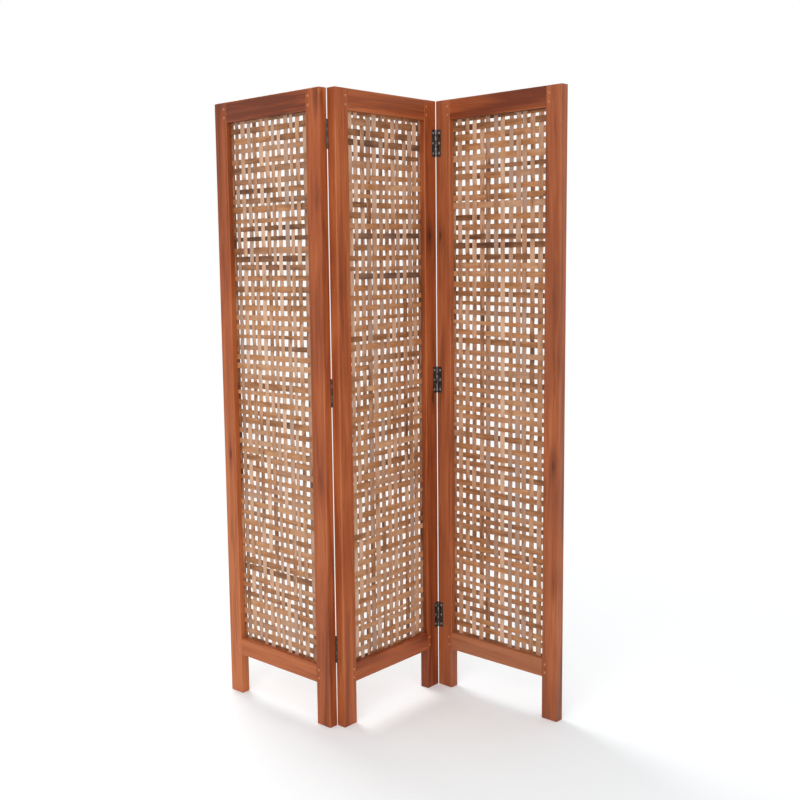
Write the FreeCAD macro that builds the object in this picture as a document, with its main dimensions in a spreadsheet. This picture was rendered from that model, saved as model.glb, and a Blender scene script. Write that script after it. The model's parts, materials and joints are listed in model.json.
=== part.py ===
import FreeCAD, Part
import os

import Sketcher

# Three-leaf folding screen: three hardwood frames, each filled with an open lattice of
# flat split-cane strips in a two-over, two-under twill, joined by surface butt hinges.
# Millimetres, +Z up. The origin is on the floor under the middle of the middle leaf.
# The leaves stand in the zig-zag in which a screen is used.

doc = FreeCAD.newDocument("FoldingScreen")

SIZES = (
    ("leaf_width", "415", "width of one leaf"),
    ("leaf_height", "1700", "height of one leaf, from the floor to its top"),
    ("leaf_thickness", "27", "thickness of stiles and rails"),
    ("leaf_gap", "1.5", "space between two leaves that are opened flat"),
    ("fold_half_angle", "46", "turn of each leaf from the line of the screen, in degrees"),
    ("stile_width", "49", "width of a stile"),
    ("top_rail_height", "55", "height of a top rail"),
    ("bottom_rail_height", "50", "height of a bottom rail"),
    ("foot_height", "118", "from the floor to the underside of a bottom rail"),
    ("rebate_width", "10", "width of the rebate round the opening, cut from the back"),
    ("rebate_depth", "10", "depth of that rebate from the back face"),
    ("bead_clearance", "0.1", "fit of a retaining bead in its rebate"),
    ("tenon_length", "34", "length of a tenon past its shoulder"),
    ("tenon_thickness", "8", "thickness of a tenon"),
    ("tenon_setback", "5", "from the front face to a tenon"),
    ("top_shoulder", "10", "cut from the outer edge of a top rail at its tenon"),
    ("tenon_shoulder", "5", "cut from the other edges of a rail at its tenon"),
    ("tenon_clearance", "0.1", "space round a tenon in its mortise"),
    ("peg_side", "6", "side of a square peg"),
    ("peg_spacing", "23", "between the two pegs of a joint"),
    ("peg_setback", "9", "from a stile's inner edge to the middle of its pegs"),
    ("peg_proud", "0.3", "how far a peg stands out of the front face"),
    ("peg_clearance", "0.05", "space round a peg in its hole"),
    ("strip_thickness", "0.9", "thickness of a cane strip"),
    ("weft_width", "13", "width of a level strip"),
    ("warp_width", "13", "width of an upright strip"),
    ("weft_count", "54", "level strips in one leaf"),
    ("warp_count", "12", "upright strips in one leaf"),
    ("strip_end_gap", "1", "from a strip's end to the wall of the rebate"),
    ("strip_clearance", "0.05", "least space between two strips that cross"),
    ("hinge_height", "75", "height of a hinge"),
    ("lower_hinge_rise", "216", "from the floor to the middle of the lowest hinge"),
    ("upper_hinge_drop", "116", "from the top of the leaf to the middle of the highest hinge"),
    ("middle_hinge_lift", "16", "how far the middle hinge sits above midway between those two"),
    ("plate_width", "17", "width of a hinge plate on its stile"),
    ("plate_thickness", "1.2", "thickness of a hinge plate, and how deep it is let into its stile"),
    ("plate_clearance", "0.1", "space round a hinge plate in its seat"),
    ("knuckle_radius", "3", "outer radius of a hinge's barrel"),
    ("barrel_sides", "6", "flats round a knuckle, outside and in its bore"),
    ("knuckle_count", "3", "knuckles in one barrel"),
    ("knuckle_clearance", "0.3", "space round a knuckle, to its neighbours and in the stiles' edges"),
    ("pin_standoff", "0.5", "how far in front of the faces of the leaves the pins lie"),
    ("pin_radius", "1.5", "radius of a hinge pin"),
    ("pin_clearance", "0.05", "radial space round a pin in its knuckles"),
    ("cut_overrun", "1", "how far a cut runs past the face that it opens"),
)

sheet = doc.addObject("Spreadsheet::Sheet", "Sizes")
for row, (alias, text, note) in enumerate(SIZES, start=1):
    sheet.set(f"A{row}", note)
    sheet.set(f"B{row}", text)
    sheet.setAlias(f"B{row}", alias)
doc.recompute()

LEAVES = ("left", "middle", "right")
HINGED_BEHIND = (("left", "right"), ("middle", "left"))
HINGED_IN_FRONT = (("middle", "right"), ("right", "left"))
HALF_TURN = 180

# The twill passes over two strips and under two. On the outer leaves its diagonals fall to
# the right, and on the middle leaf they rise to the right. The phase is the step at which
# the diagonals start.
TWILL_REPEAT = 4
TWILL_FLOAT = 2
TWILL_LEAN = {"left": 1, "middle": -1, "right": 1}
TWILL_PHASE = {"left": 0, "middle": 3, "right": 0}

# Places in a leaf's own frame: x across from its left edge, y back from its front face, z up.
OPENING_LEFT = "Sizes.stile_width"
OPENING_WIDTH = "(Sizes.leaf_width - 2 * Sizes.stile_width)"
OPENING_RIGHT = "(Sizes.leaf_width - Sizes.stile_width)"
OPENING_LOW = "(Sizes.foot_height + Sizes.bottom_rail_height)"
OPENING_HIGH = "(Sizes.leaf_height - Sizes.top_rail_height)"
OPENING_HEIGHT = f"({OPENING_HIGH} - {OPENING_LOW})"
SEAT_DEPTH = "(Sizes.leaf_thickness - Sizes.rebate_depth)"
BEAD_THICKNESS = "(Sizes.rebate_depth - Sizes.strip_thickness)"
BEAD_WIDTH = "(Sizes.rebate_width - Sizes.bead_clearance)"
STRIP_HOLD = "(Sizes.rebate_width - Sizes.strip_end_gap)"
WEFT_PITCH = f"({OPENING_HEIGHT} / (Sizes.weft_count + 1))"
KNUCKLE_REACH = "(Sizes.knuckle_radius + Sizes.knuckle_clearance)"

# How high the middle of each hinge of a joint lies.
LOWER_HINGE = "Sizes.lower_hinge_rise"
UPPER_HINGE = "(Sizes.leaf_height - Sizes.upper_hinge_drop)"
MIDDLE_HINGE = f"(({LOWER_HINGE} + {UPPER_HINGE}) / 2 + Sizes.middle_hinge_lift)"

# The tenons, as (low, high) places up the leaf.
TOP_TENON = (
    f"({OPENING_HIGH} + Sizes.tenon_shoulder)",
    "(Sizes.leaf_height - Sizes.top_shoulder)",
)
BOTTOM_TENON = (
    "(Sizes.foot_height + Sizes.tenon_shoulder)",
    f"({OPENING_LOW} - Sizes.tenon_shoulder)",
)


def number(alias):
    """The value of one cell of the sheet."""
    return float(sheet.get(alias))


def count(alias):
    return int(round(number(alias)))


def origin_plane(body, role):
    """One of a body's own three origin planes."""
    return next(item for item in body.Origin.OriginFeatures if item.Role == role)


def new_sketch(body, name, role, offset):
    """An empty sketch on one of the body's planes, moved along that plane's normal."""
    sketch = body.newObject("Sketcher::SketchObject", name)
    sketch.AttachmentSupport = [(origin_plane(body, role), "")]
    sketch.MapMode = "FlatFace"
    if offset:
        sketch.setExpression("AttachmentOffset.Base.z", offset)
    return sketch


def bind(sketch, constraint, expression):
    """Add a distance constraint and tie it to an expression."""
    index = sketch.addConstraint(constraint)
    sketch.setExpression(f"Constraints[{index}]", expression)


def add_rectangle(sketch, left, low, width, height):
    """A rectangle tied to four expressions. A left or low of None lies on that axis."""
    corners = [FreeCAD.Vector(x, y) for x, y in ((1, 1), (2, 1), (2, 2), (1, 2))]
    lines = []
    for here, there in zip(corners, corners[1:] + corners[:1]):
        lines.append(sketch.addGeometry(Part.LineSegment(here, there)))
    bottom, right, top, side = lines
    for line, following in zip(lines, lines[1:] + lines[:1]):
        sketch.addConstraint(Sketcher.Constraint("Coincident", line, 2, following, 1))
    for line in (bottom, top):
        sketch.addConstraint(Sketcher.Constraint("Horizontal", line))
    for line in (right, side):
        sketch.addConstraint(Sketcher.Constraint("Vertical", line))
    bind(sketch, Sketcher.Constraint("DistanceX", bottom, 1, bottom, 2, 1.0), width)
    bind(sketch, Sketcher.Constraint("DistanceY", right, 1, right, 2, 1.0), height)
    if left is None:
        sketch.addConstraint(Sketcher.Constraint("PointOnObject", bottom, 1, -2))
    else:
        bind(sketch, Sketcher.Constraint("DistanceX", -1, 1, bottom, 1, 1.0), left)
    if low is None:
        sketch.addConstraint(Sketcher.Constraint("PointOnObject", bottom, 1, -1))
    else:
        bind(sketch, Sketcher.Constraint("DistanceY", -1, 1, bottom, 1, 1.0), low)


def pad(body, sketch, length):
    feature = body.newObject("PartDesign::Pad", sketch.Name + "Pad")
    feature.Profile = sketch
    feature.setExpression("Length", length)
    body.Tip = feature
    doc.recompute()


def pocket(body, sketch, length, reverse=False):
    """Cut a sketch into the body, and make sure that it took something away."""
    before = body.Shape.Volume
    feature = body.newObject("PartDesign::Pocket", sketch.Name + "Pocket")
    feature.Profile = sketch
    feature.Reversed = reverse
    feature.setExpression("Length", length)
    body.Tip = feature
    doc.recompute()
    if body.Shape.Volume >= before:
        raise RuntimeError(f"{feature.Name} cuts nothing")


def new_body(name):
    body = doc.addObject("PartDesign::Body", name)
    body.Label = name
    return body


def leaf_turn(leaf):
    """The turn of a leaf about the upright axis: the middle one leans the other way."""
    angle = number("fold_half_angle")
    return angle if leaf == "middle" else -angle


def turned(leaf, x, y):
    """A vector in a leaf's own frame, given in the screen's frame."""
    turn = FreeCAD.Rotation(FreeCAD.Vector(0, 0, 1), leaf_turn(leaf))
    return turn.multVec(FreeCAD.Vector(x, y, 0))


def pin_places():
    """The two folding axes, as points on the floor: the ridge behind, the valley in front."""
    across = (number("leaf_width") + number("leaf_gap")) / 2
    back = number("leaf_thickness") / 2 + number("pin_standoff")
    return {
        "ridge": turned("middle", -across, back),
        "valley": turned("middle", across, -back),
    }


def leaf_placement(leaf):
    """Where a leaf's own frame lies in the screen."""
    width = number("leaf_width")
    depth = number("leaf_thickness")
    half_gap = number("leaf_gap") / 2
    stand_off = number("pin_standoff")
    if leaf == "left":
        base = pin_places()["ridge"] - turned(leaf, width + half_gap, depth + stand_off)
    elif leaf == "right":
        base = pin_places()["valley"] - turned(leaf, -half_gap, -stand_off)
    else:
        base = -turned(leaf, width / 2, depth / 2)
    turn = FreeCAD.Rotation(FreeCAD.Vector(0, 0, 1), leaf_turn(leaf))
    return FreeCAD.Placement(base, turn)


def hinge_places():
    """How high the middle of each hinge of a joint lies, as numbers."""
    lower = number("lower_hinge_rise")
    upper = number("leaf_height") - number("upper_hinge_drop")
    middle = (lower + upper) / 2 + number("middle_hinge_lift")
    return {"lower": lower, "middle": middle, "upper": upper}


def cut_hinge_seats(body, right, behind):
    """Let the hinges into one face of a stile: a seat for each plate and room for its barrel."""
    cuts = (
        ("PlateSeats", "Sizes.plate_thickness", "(Sizes.plate_width + Sizes.plate_clearance)"),
        (
            "BarrelSeats",
            f"({KNUCKLE_REACH} - Sizes.pin_standoff)",
            f"({KNUCKLE_REACH} - Sizes.leaf_gap / 2)",
        ),
    )
    height = "(Sizes.hinge_height + 2 * Sizes.plate_clearance)"
    for name, depth, reach in cuts:
        start = f"-(Sizes.leaf_thickness - {depth})" if behind else None
        seats = new_sketch(body, body.Name + name, "XZ_Plane", start)
        left = f"Sizes.leaf_width - {reach}" if right else "-Sizes.cut_overrun"
        for middle in (LOWER_HINGE, MIDDLE_HINGE, UPPER_HINGE):
            add_rectangle(seats, left, f"{middle} - {height} / 2", f"{reach} + Sizes.cut_overrun", height)
        pocket(body, seats, f"{depth} + Sizes.cut_overrun" if behind else depth)


def peg_places():
    """The middles of the four pegs up one stile."""
    places = []
    for low, high in (TOP_TENON, BOTTOM_TENON):
        for side in ("-", "+"):
            middle = f"({low} + {high}) / 2"
            places.append(f"({middle} {side} Sizes.peg_spacing / 2)")
    return places


def peg_columns():
    """The middles of the pegs of the left and of the right stile, across the leaf."""
    return (
        "(Sizes.stile_width - Sizes.peg_setback)",
        "(Sizes.leaf_width - Sizes.stile_width + Sizes.peg_setback)",
    )


def add_peg_holes(body, columns):
    """Square holes from the front face to the back of the tenons."""
    sketch = new_sketch(body, body.Name + "PegHoles", "XZ_Plane", None)
    side = "(Sizes.peg_side + 2 * Sizes.peg_clearance)"
    for column in columns:
        for place in peg_places():
            add_rectangle(sketch, f"{column} - {side} / 2", f"{place} - {side} / 2", side, side)
    pocket(body, sketch, "Sizes.tenon_setback + Sizes.tenon_thickness + Sizes.peg_clearance")


def make_stile(leaf, side):
    """A stile, with two mortises, a stopped rebate, peg holes and any hinge seats."""
    body = new_body(f"{leaf}_leaf_{side}_stile")
    right = side == "right"
    outer = OPENING_RIGHT if right else None
    section = new_sketch(body, body.Name + "Section", "XY_Plane", None)
    add_rectangle(section, outer, None, "Sizes.stile_width", "Sizes.leaf_thickness")
    pad(body, section, "Sizes.leaf_height")

    rebate = new_sketch(body, body.Name + "Rebate", "XZ_Plane", f"-{SEAT_DEPTH}")
    rebate_left = (
        f"{OPENING_RIGHT} - Sizes.cut_overrun" if right else f"{OPENING_LEFT} - Sizes.rebate_width"
    )
    add_rectangle(
        rebate,
        rebate_left,
        f"{OPENING_LOW} - Sizes.rebate_width",
        "Sizes.rebate_width + Sizes.cut_overrun",
        f"{OPENING_HEIGHT} + 2 * Sizes.rebate_width",
    )
    pocket(body, rebate, "Sizes.rebate_depth + Sizes.cut_overrun")

    inner = OPENING_RIGHT if right else OPENING_LEFT
    mortises = new_sketch(body, body.Name + "Mortises", "YZ_Plane", inner)
    for low, high in (TOP_TENON, BOTTOM_TENON):
        add_rectangle(
            mortises,
            "Sizes.tenon_setback - Sizes.tenon_clearance",
            f"{low} - Sizes.tenon_clearance",
            "Sizes.tenon_thickness + 2 * Sizes.tenon_clearance",
            f"{high} - {low} + 2 * Sizes.tenon_clearance",
        )
    pocket(body, mortises, "Sizes.tenon_length + Sizes.tenon_clearance", reverse=right)
    add_peg_holes(body, (peg_columns()[1 if right else 0],))
    if (leaf, side) in HINGED_BEHIND:
        cut_hinge_seats(body, right, behind=True)
    if (leaf, side) in HINGED_IN_FRONT:
        cut_hinge_seats(body, right, behind=False)
    return body


def make_rail(leaf, place):
    """A rail between the stiles, with a tenon at each end, a rebate and peg holes."""
    body = new_body(f"{leaf}_leaf_{place}_rail")
    top = place == "top"
    low = OPENING_HIGH if top else "Sizes.foot_height"
    height = "Sizes.top_rail_height" if top else "Sizes.bottom_rail_height"
    section = new_sketch(body, body.Name + "Section", "YZ_Plane", OPENING_LEFT)
    add_rectangle(section, None, low, "Sizes.leaf_thickness", height)
    pad(body, section, OPENING_WIDTH)

    tenon_low, tenon_high = TOP_TENON if top else BOTTOM_TENON
    start = f"{OPENING_LEFT} - Sizes.tenon_length"
    tenons = new_sketch(body, body.Name + "Tenons", "YZ_Plane", start)
    add_rectangle(
        tenons, "Sizes.tenon_setback", tenon_low, "Sizes.tenon_thickness", f"{tenon_high} - {tenon_low}"
    )
    pad(body, tenons, f"{OPENING_WIDTH} + 2 * Sizes.tenon_length")

    rebate = new_sketch(body, body.Name + "Rebate", "XZ_Plane", f"-{SEAT_DEPTH}")
    rebate_low = (
        f"{OPENING_HIGH} - Sizes.cut_overrun" if top else f"{OPENING_LOW} - Sizes.rebate_width"
    )
    add_rectangle(
        rebate,
        f"{OPENING_LEFT} - Sizes.cut_overrun",
        rebate_low,
        f"{OPENING_WIDTH} + 2 * Sizes.cut_overrun",
        "Sizes.rebate_width + Sizes.cut_overrun",
    )
    pocket(body, rebate, "Sizes.rebate_depth + Sizes.cut_overrun")
    add_peg_holes(body, peg_columns())
    return body


def make_box(name, x, y, z, length, width, height):
    """A plain block whose corner and sizes are tied to expressions."""
    box = doc.addObject("Part::Box", name)
    box.Label = name
    for key, expression in (("Length", length), ("Width", width), ("Height", height)):
        box.setExpression(key, expression)
    for key, expression in (("x", x), ("y", y), ("z", z)):
        box.setExpression(f"Placement.Base.{key}", expression)
    return box


def in_leaf(leaf, name, pieces):
    """Gather pieces made in a leaf's own frame into one sub-part, set in its leaf."""
    group = doc.addObject("Part::Compound", name)
    group.Label = name
    group.Links = pieces
    group.Placement = leaf_placement(leaf)
    return group


def make_bead(leaf, side):
    """A batten in the back rebate. It holds the ends of the strips against the frame."""
    depth = f"({SEAT_DEPTH} + Sizes.strip_thickness)"
    upright_low = f"{OPENING_LOW} - {BEAD_WIDTH}"
    upright_height = f"{OPENING_HEIGHT} + 2 * {BEAD_WIDTH}"
    layout = {
        "left": (f"{OPENING_LEFT} - {BEAD_WIDTH}", upright_low, BEAD_WIDTH, upright_height),
        "right": (OPENING_RIGHT, upright_low, BEAD_WIDTH, upright_height),
        "top": (OPENING_LEFT, OPENING_HIGH, OPENING_WIDTH, BEAD_WIDTH),
        "bottom": (OPENING_LEFT, upright_low, OPENING_WIDTH, BEAD_WIDTH),
    }
    x, z, length, height = layout[side]
    name = f"{leaf}_leaf_{side}_bead"
    batten = make_box(name + "_batten", x, depth, z, length, BEAD_THICKNESS, height)
    return in_leaf(leaf, name, [batten])


def make_pegs(leaf):
    """Eight square pegs, two through each tenon."""
    name = f"{leaf}_leaf_pegs"
    length = "Sizes.tenon_setback + Sizes.tenon_thickness + Sizes.peg_proud"
    pegs = []
    for column in peg_columns():
        for place in peg_places():
            pegs.append(
                make_box(
                    f"{name}_{len(pegs) + 1}",
                    f"{column} - Sizes.peg_side / 2",
                    "-Sizes.peg_proud",
                    f"{place} - Sizes.peg_side / 2",
                    "Sizes.peg_side",
                    length,
                    "Sizes.peg_side",
                )
            )
    return in_leaf(leaf, name, pegs)


def make_wefts(leaf):
    """The level strips. They lie straight, their ends between the seat and the side beads."""
    name = f"{leaf}_leaf_wefts"
    strips = []
    for strip in range(count("weft_count")):
        strips.append(
            make_box(
                f"{name}_{strip + 1}",
                f"{OPENING_LEFT} - {STRIP_HOLD}",
                SEAT_DEPTH,
                f"{OPENING_LOW} + {strip + 1} * {WEFT_PITCH} - Sizes.weft_width / 2",
                f"{OPENING_WIDTH} + 2 * {STRIP_HOLD}",
                "Sizes.strip_thickness",
                "Sizes.weft_width",
            )
        )
    return in_leaf(leaf, name, strips)


def warp_line(leaf, column):
    """The front line of an upright strip, as (depth from the wefts' front, height) pairs.

    It turns at the middle of every float of two wefts, in front of them and then behind the
    next two, one weft further on than its neighbour. Its ends lie flat between frame and bead.
    """
    low = number("foot_height") + number("bottom_rail_height")
    high = number("leaf_height") - number("top_rail_height")
    hold = number("rebate_width") - number("strip_end_gap")
    wefts = count("weft_count")
    pitch = (high - low) / (wefts + 1)
    spare = number("strip_thickness") + number("strip_clearance")
    swing = spare * 2 * pitch / (pitch - number("weft_width"))

    def in_front(weft):
        step = weft + TWILL_LEAN[leaf] * column + TWILL_PHASE[leaf]
        return step % TWILL_REPEAT < TWILL_FLOAT

    line = [(0, low - hold), (0, low)]
    for turn in range(wefts + 1):
        if in_front(turn - 1) == in_front(turn):
            depth = -swing if in_front(turn) else swing
            line.append((depth, low + (2 * turn + 1) * pitch / 2))
    line += [(0, high), (0, high + hold)]
    return line


def make_warps(leaf):
    """The upright strips, woven over two wefts and under two."""
    left = number("stile_width")
    pitch = (number("leaf_width") - 2 * left) / (count("warp_count") + 1)
    width = number("warp_width")
    thickness = number("strip_thickness")
    seat = number("leaf_thickness") - number("rebate_depth")
    strips = []
    for column in range(count("warp_count")):
        edge = left + (column + 1) * pitch - width / 2
        line = warp_line(leaf, column)
        front = [FreeCAD.Vector(edge, seat + depth, height) for depth, height in line]
        back = [point + FreeCAD.Vector(0, thickness, 0) for point in reversed(front)]
        outline = Part.makePolygon(front + back + front[:1])
        strips.append(Part.Face(outline).extrude(FreeCAD.Vector(width, 0, 0)))
    warps = doc.addObject("Part::Feature", f"{leaf}_leaf_warps")
    warps.Label = warps.Name
    warps.Shape = Part.makeCompound(strips)
    warps.Placement = leaf_placement(leaf)
    return warps


def add_prism(body, kind, name, radius):
    """A prism about the hinge's pin and as long as the hinge, added to the body or cut from it."""
    before = body.Shape.Volume
    prism = body.newObject(f"PartDesign::{kind}Prism", body.Name + name)
    prism.AttachmentSupport = [(origin_plane(body, "XY_Plane"), "")]
    prism.MapMode = "FlatFace"
    prism.setExpression("Polygon", "Sizes.barrel_sides")
    prism.setExpression("Circumradius", radius)
    prism.setExpression("Height", "Sizes.hinge_height")
    prism.setExpression("AttachmentOffset.Base.y", "Sizes.pin_standoff")
    body.Tip = prism
    doc.recompute()
    grown = body.Shape.Volume > before
    if grown != (kind == "Additive"):
        raise RuntimeError(f"{prism.Name} changes nothing")


def make_hinge_plate(name, keeps):
    """A hinge plate with its knuckles: keeps is 0 for the outer set, 1 for the inner one.

    Its frame has z along the pin, y out of the stile's face and x across the stile.
    """
    body = new_body(name)
    flat = new_sketch(body, name + "Flat", "XY_Plane", None)
    add_rectangle(
        flat,
        "Sizes.leaf_gap / 2",
        "-Sizes.plate_thickness",
        "Sizes.plate_width",
        "Sizes.plate_thickness",
    )
    pad(body, flat, "Sizes.hinge_height")
    add_prism(body, "Additive", "Barrel", "Sizes.knuckle_radius")
    bore = "(Sizes.pin_radius + Sizes.pin_clearance) / cos(180deg / Sizes.barrel_sides)"
    add_prism(body, "Subtractive", "Bore", bore)

    notches = new_sketch(body, name + "Notches", "XZ_Plane", KNUCKLE_REACH)
    step = "Sizes.hinge_height / Sizes.knuckle_count"
    for knuckle in range(count("knuckle_count")):
        if knuckle % 2 != keeps:
            low = f"{knuckle} * {step} - Sizes.knuckle_clearance / 2"
            length = f"{step} + Sizes.knuckle_clearance"
            add_rectangle(notches, f"-{KNUCKLE_REACH}", low, f"2 * {KNUCKLE_REACH}", length)
    pocket(body, notches, f"Sizes.pin_standoff + 2 * {KNUCKLE_REACH}")
    return body


def hinge_frame(joint, leaf, low):
    """Where a hinge plate's frame lies in its leaf: (base, axis and angle of its turn)."""
    width = number("leaf_width")
    back = number("leaf_thickness")
    half_gap = number("leaf_gap") / 2
    high = low + number("hinge_height")
    frames = {
        ("ridge", "left"): ((width + half_gap, back, high), (0, 1, 0), HALF_TURN),
        ("ridge", "middle"): ((-half_gap, back, low), (0, 0, 1), 0),
        ("valley", "middle"): ((width + half_gap, 0, low), (0, 0, 1), HALF_TURN),
        ("valley", "right"): ((-half_gap, 0, high), (1, 0, 0), HALF_TURN),
    }
    base, axis, angle = frames[joint, leaf]
    turn = FreeCAD.Rotation(FreeCAD.Vector(*axis), angle)
    return FreeCAD.Placement(FreeCAD.Vector(*base), turn)


def make_hinge(joint, place, height):
    """One butt hinge: two plates on the faces of two stiles, and the pin through both."""
    low = height - number("hinge_height") / 2
    outer_leaf = "left" if joint == "ridge" else "right"
    pieces = []
    for leaf, keeps in (("middle", 0), (outer_leaf, 1)):
        plate = make_hinge_plate(f"{place}_{joint}_hinge_{leaf}_plate", keeps)
        plate.Placement = leaf_placement(leaf) * hinge_frame(joint, leaf, low)
        pieces.append(plate)
    pin = doc.addObject("Part::Cylinder", f"{place}_{joint}_hinge_pin")
    pin.Label = pin.Name
    pin.setExpression("Radius", "Sizes.pin_radius")
    pin.setExpression("Height", "Sizes.hinge_height")
    foot = pin_places()[joint]
    pin.Placement.Base = FreeCAD.Vector(foot.x, foot.y, low)
    pieces.append(pin)
    return pieces


def make_leaf(leaf):
    """One framed leaf with its lattice."""
    pieces = []
    for side in ("left", "right"):
        pieces.append(make_stile(leaf, side))
    for place in ("top", "bottom"):
        pieces.append(make_rail(leaf, place))
    for member in pieces:
        member.Placement = leaf_placement(leaf)
    for side in ("left", "right", "top", "bottom"):
        pieces.append(make_bead(leaf, side))
    pieces.append(make_wefts(leaf))
    pieces.append(make_warps(leaf))
    pieces.append(make_pegs(leaf))
    return pieces


def main():
    subparts = []
    for leaf in LEAVES:
        subparts += make_leaf(leaf)
    for joint in ("ridge", "valley"):
        for place, height in hinge_places().items():
            subparts += make_hinge(joint, place, height)
    doc.recompute()

    for item in doc.Objects:
        if "Invalid" in item.State or "Error" in item.State:
            raise RuntimeError(f"{item.Label} did not compute: {item.State}")
    for piece in subparts:
        if piece.Shape.isNull() or not piece.Shape.isValid():
            raise RuntimeError(f"{piece.Label} has no valid shape")

    os.makedirs("parts", exist_ok=True)
    for piece in subparts:
        piece.Shape.exportStep(f"parts/{piece.Label}.step")
    print(len(subparts), "sub-parts written")


main()
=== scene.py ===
import functools
import json
import math
import random
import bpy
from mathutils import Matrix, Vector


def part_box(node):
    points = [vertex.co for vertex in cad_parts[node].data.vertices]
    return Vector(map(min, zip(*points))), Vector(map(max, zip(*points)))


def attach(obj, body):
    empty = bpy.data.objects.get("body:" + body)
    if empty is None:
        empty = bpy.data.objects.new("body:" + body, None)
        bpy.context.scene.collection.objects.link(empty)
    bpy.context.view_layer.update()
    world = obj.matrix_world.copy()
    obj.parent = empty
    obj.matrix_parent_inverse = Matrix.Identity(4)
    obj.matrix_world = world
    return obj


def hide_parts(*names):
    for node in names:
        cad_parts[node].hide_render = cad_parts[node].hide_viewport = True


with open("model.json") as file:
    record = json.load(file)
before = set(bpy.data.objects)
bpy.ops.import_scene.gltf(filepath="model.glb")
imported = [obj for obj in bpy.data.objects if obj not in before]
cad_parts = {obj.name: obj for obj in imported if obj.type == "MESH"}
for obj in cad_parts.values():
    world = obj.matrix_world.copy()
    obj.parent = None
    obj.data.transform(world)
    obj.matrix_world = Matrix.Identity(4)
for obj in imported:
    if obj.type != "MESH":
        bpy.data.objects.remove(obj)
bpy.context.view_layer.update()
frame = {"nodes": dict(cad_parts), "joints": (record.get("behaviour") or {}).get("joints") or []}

from types import SimpleNamespace

import bmesh
import bpy
from bpy.props import FloatProperty, FloatVectorProperty, IntProperty, PointerProperty
from mathutils import Matrix, Vector

bl_info = {
    "name": "Folding Screen",
    "version": (1, 0, 0),
    "blender": (4, 5, 0),
    "location": "3D View > Sidebar > Folding Screen",
    "description": "Builds a three-leaf hardwood screen filled with a woven cane lattice",
    "category": "Add Mesh",
}

MM = 0.001

LEAVES = ("left", "middle", "right")
LEAF_TURN = {"left": -1, "middle": 1, "right": -1}
SIDES = ("left", "right")
RAILS = ("top", "bottom")
HINGE_PLACES = ("lower", "middle", "upper")

# The ridge has its hinges behind the leaves, and the valley has them in front.
OUTER_LEAF = {"ridge": "left", "valley": "right"}
HINGED_EDGE = {
    ("left", "right"): "ridge",
    ("middle", "left"): "ridge",
    ("middle", "right"): "valley",
    ("right", "left"): "valley",
}
PIN_PLACES = {joint["name"]: Vector(joint["pos_m"]) for joint in frame["joints"]}


def length(name, description, millimetres):
    """A size that a user may change, kept in metres."""
    return FloatProperty(
        name=name,
        description=description,
        default=millimetres * MM,
        min=0.0,
        precision=5,
        subtype="DISTANCE",
        unit="LENGTH",
    )


def count(name, description, default, least=1):
    """A number of like things that a user may change."""
    return IntProperty(name=name, description=description, default=default, min=least)


def colour(name, description, red, green, blue):
    """A colour that a user may change. It is given as a picture shows it, from 0 to 255."""
    return FloatVectorProperty(
        name=name,
        description=description,
        default=[as_light(level / 255) for level in (red, green, blue)],
        min=0.0,
        max=1.0,
        size=3,
        subtype="COLOR",
    )


def as_light(level):
    """A picture's level from 0 to 1, as an amount of light."""
    return level / 12.92 if level <= 0.04045 else ((level + 0.055) / 1.055) ** 2.4


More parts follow.
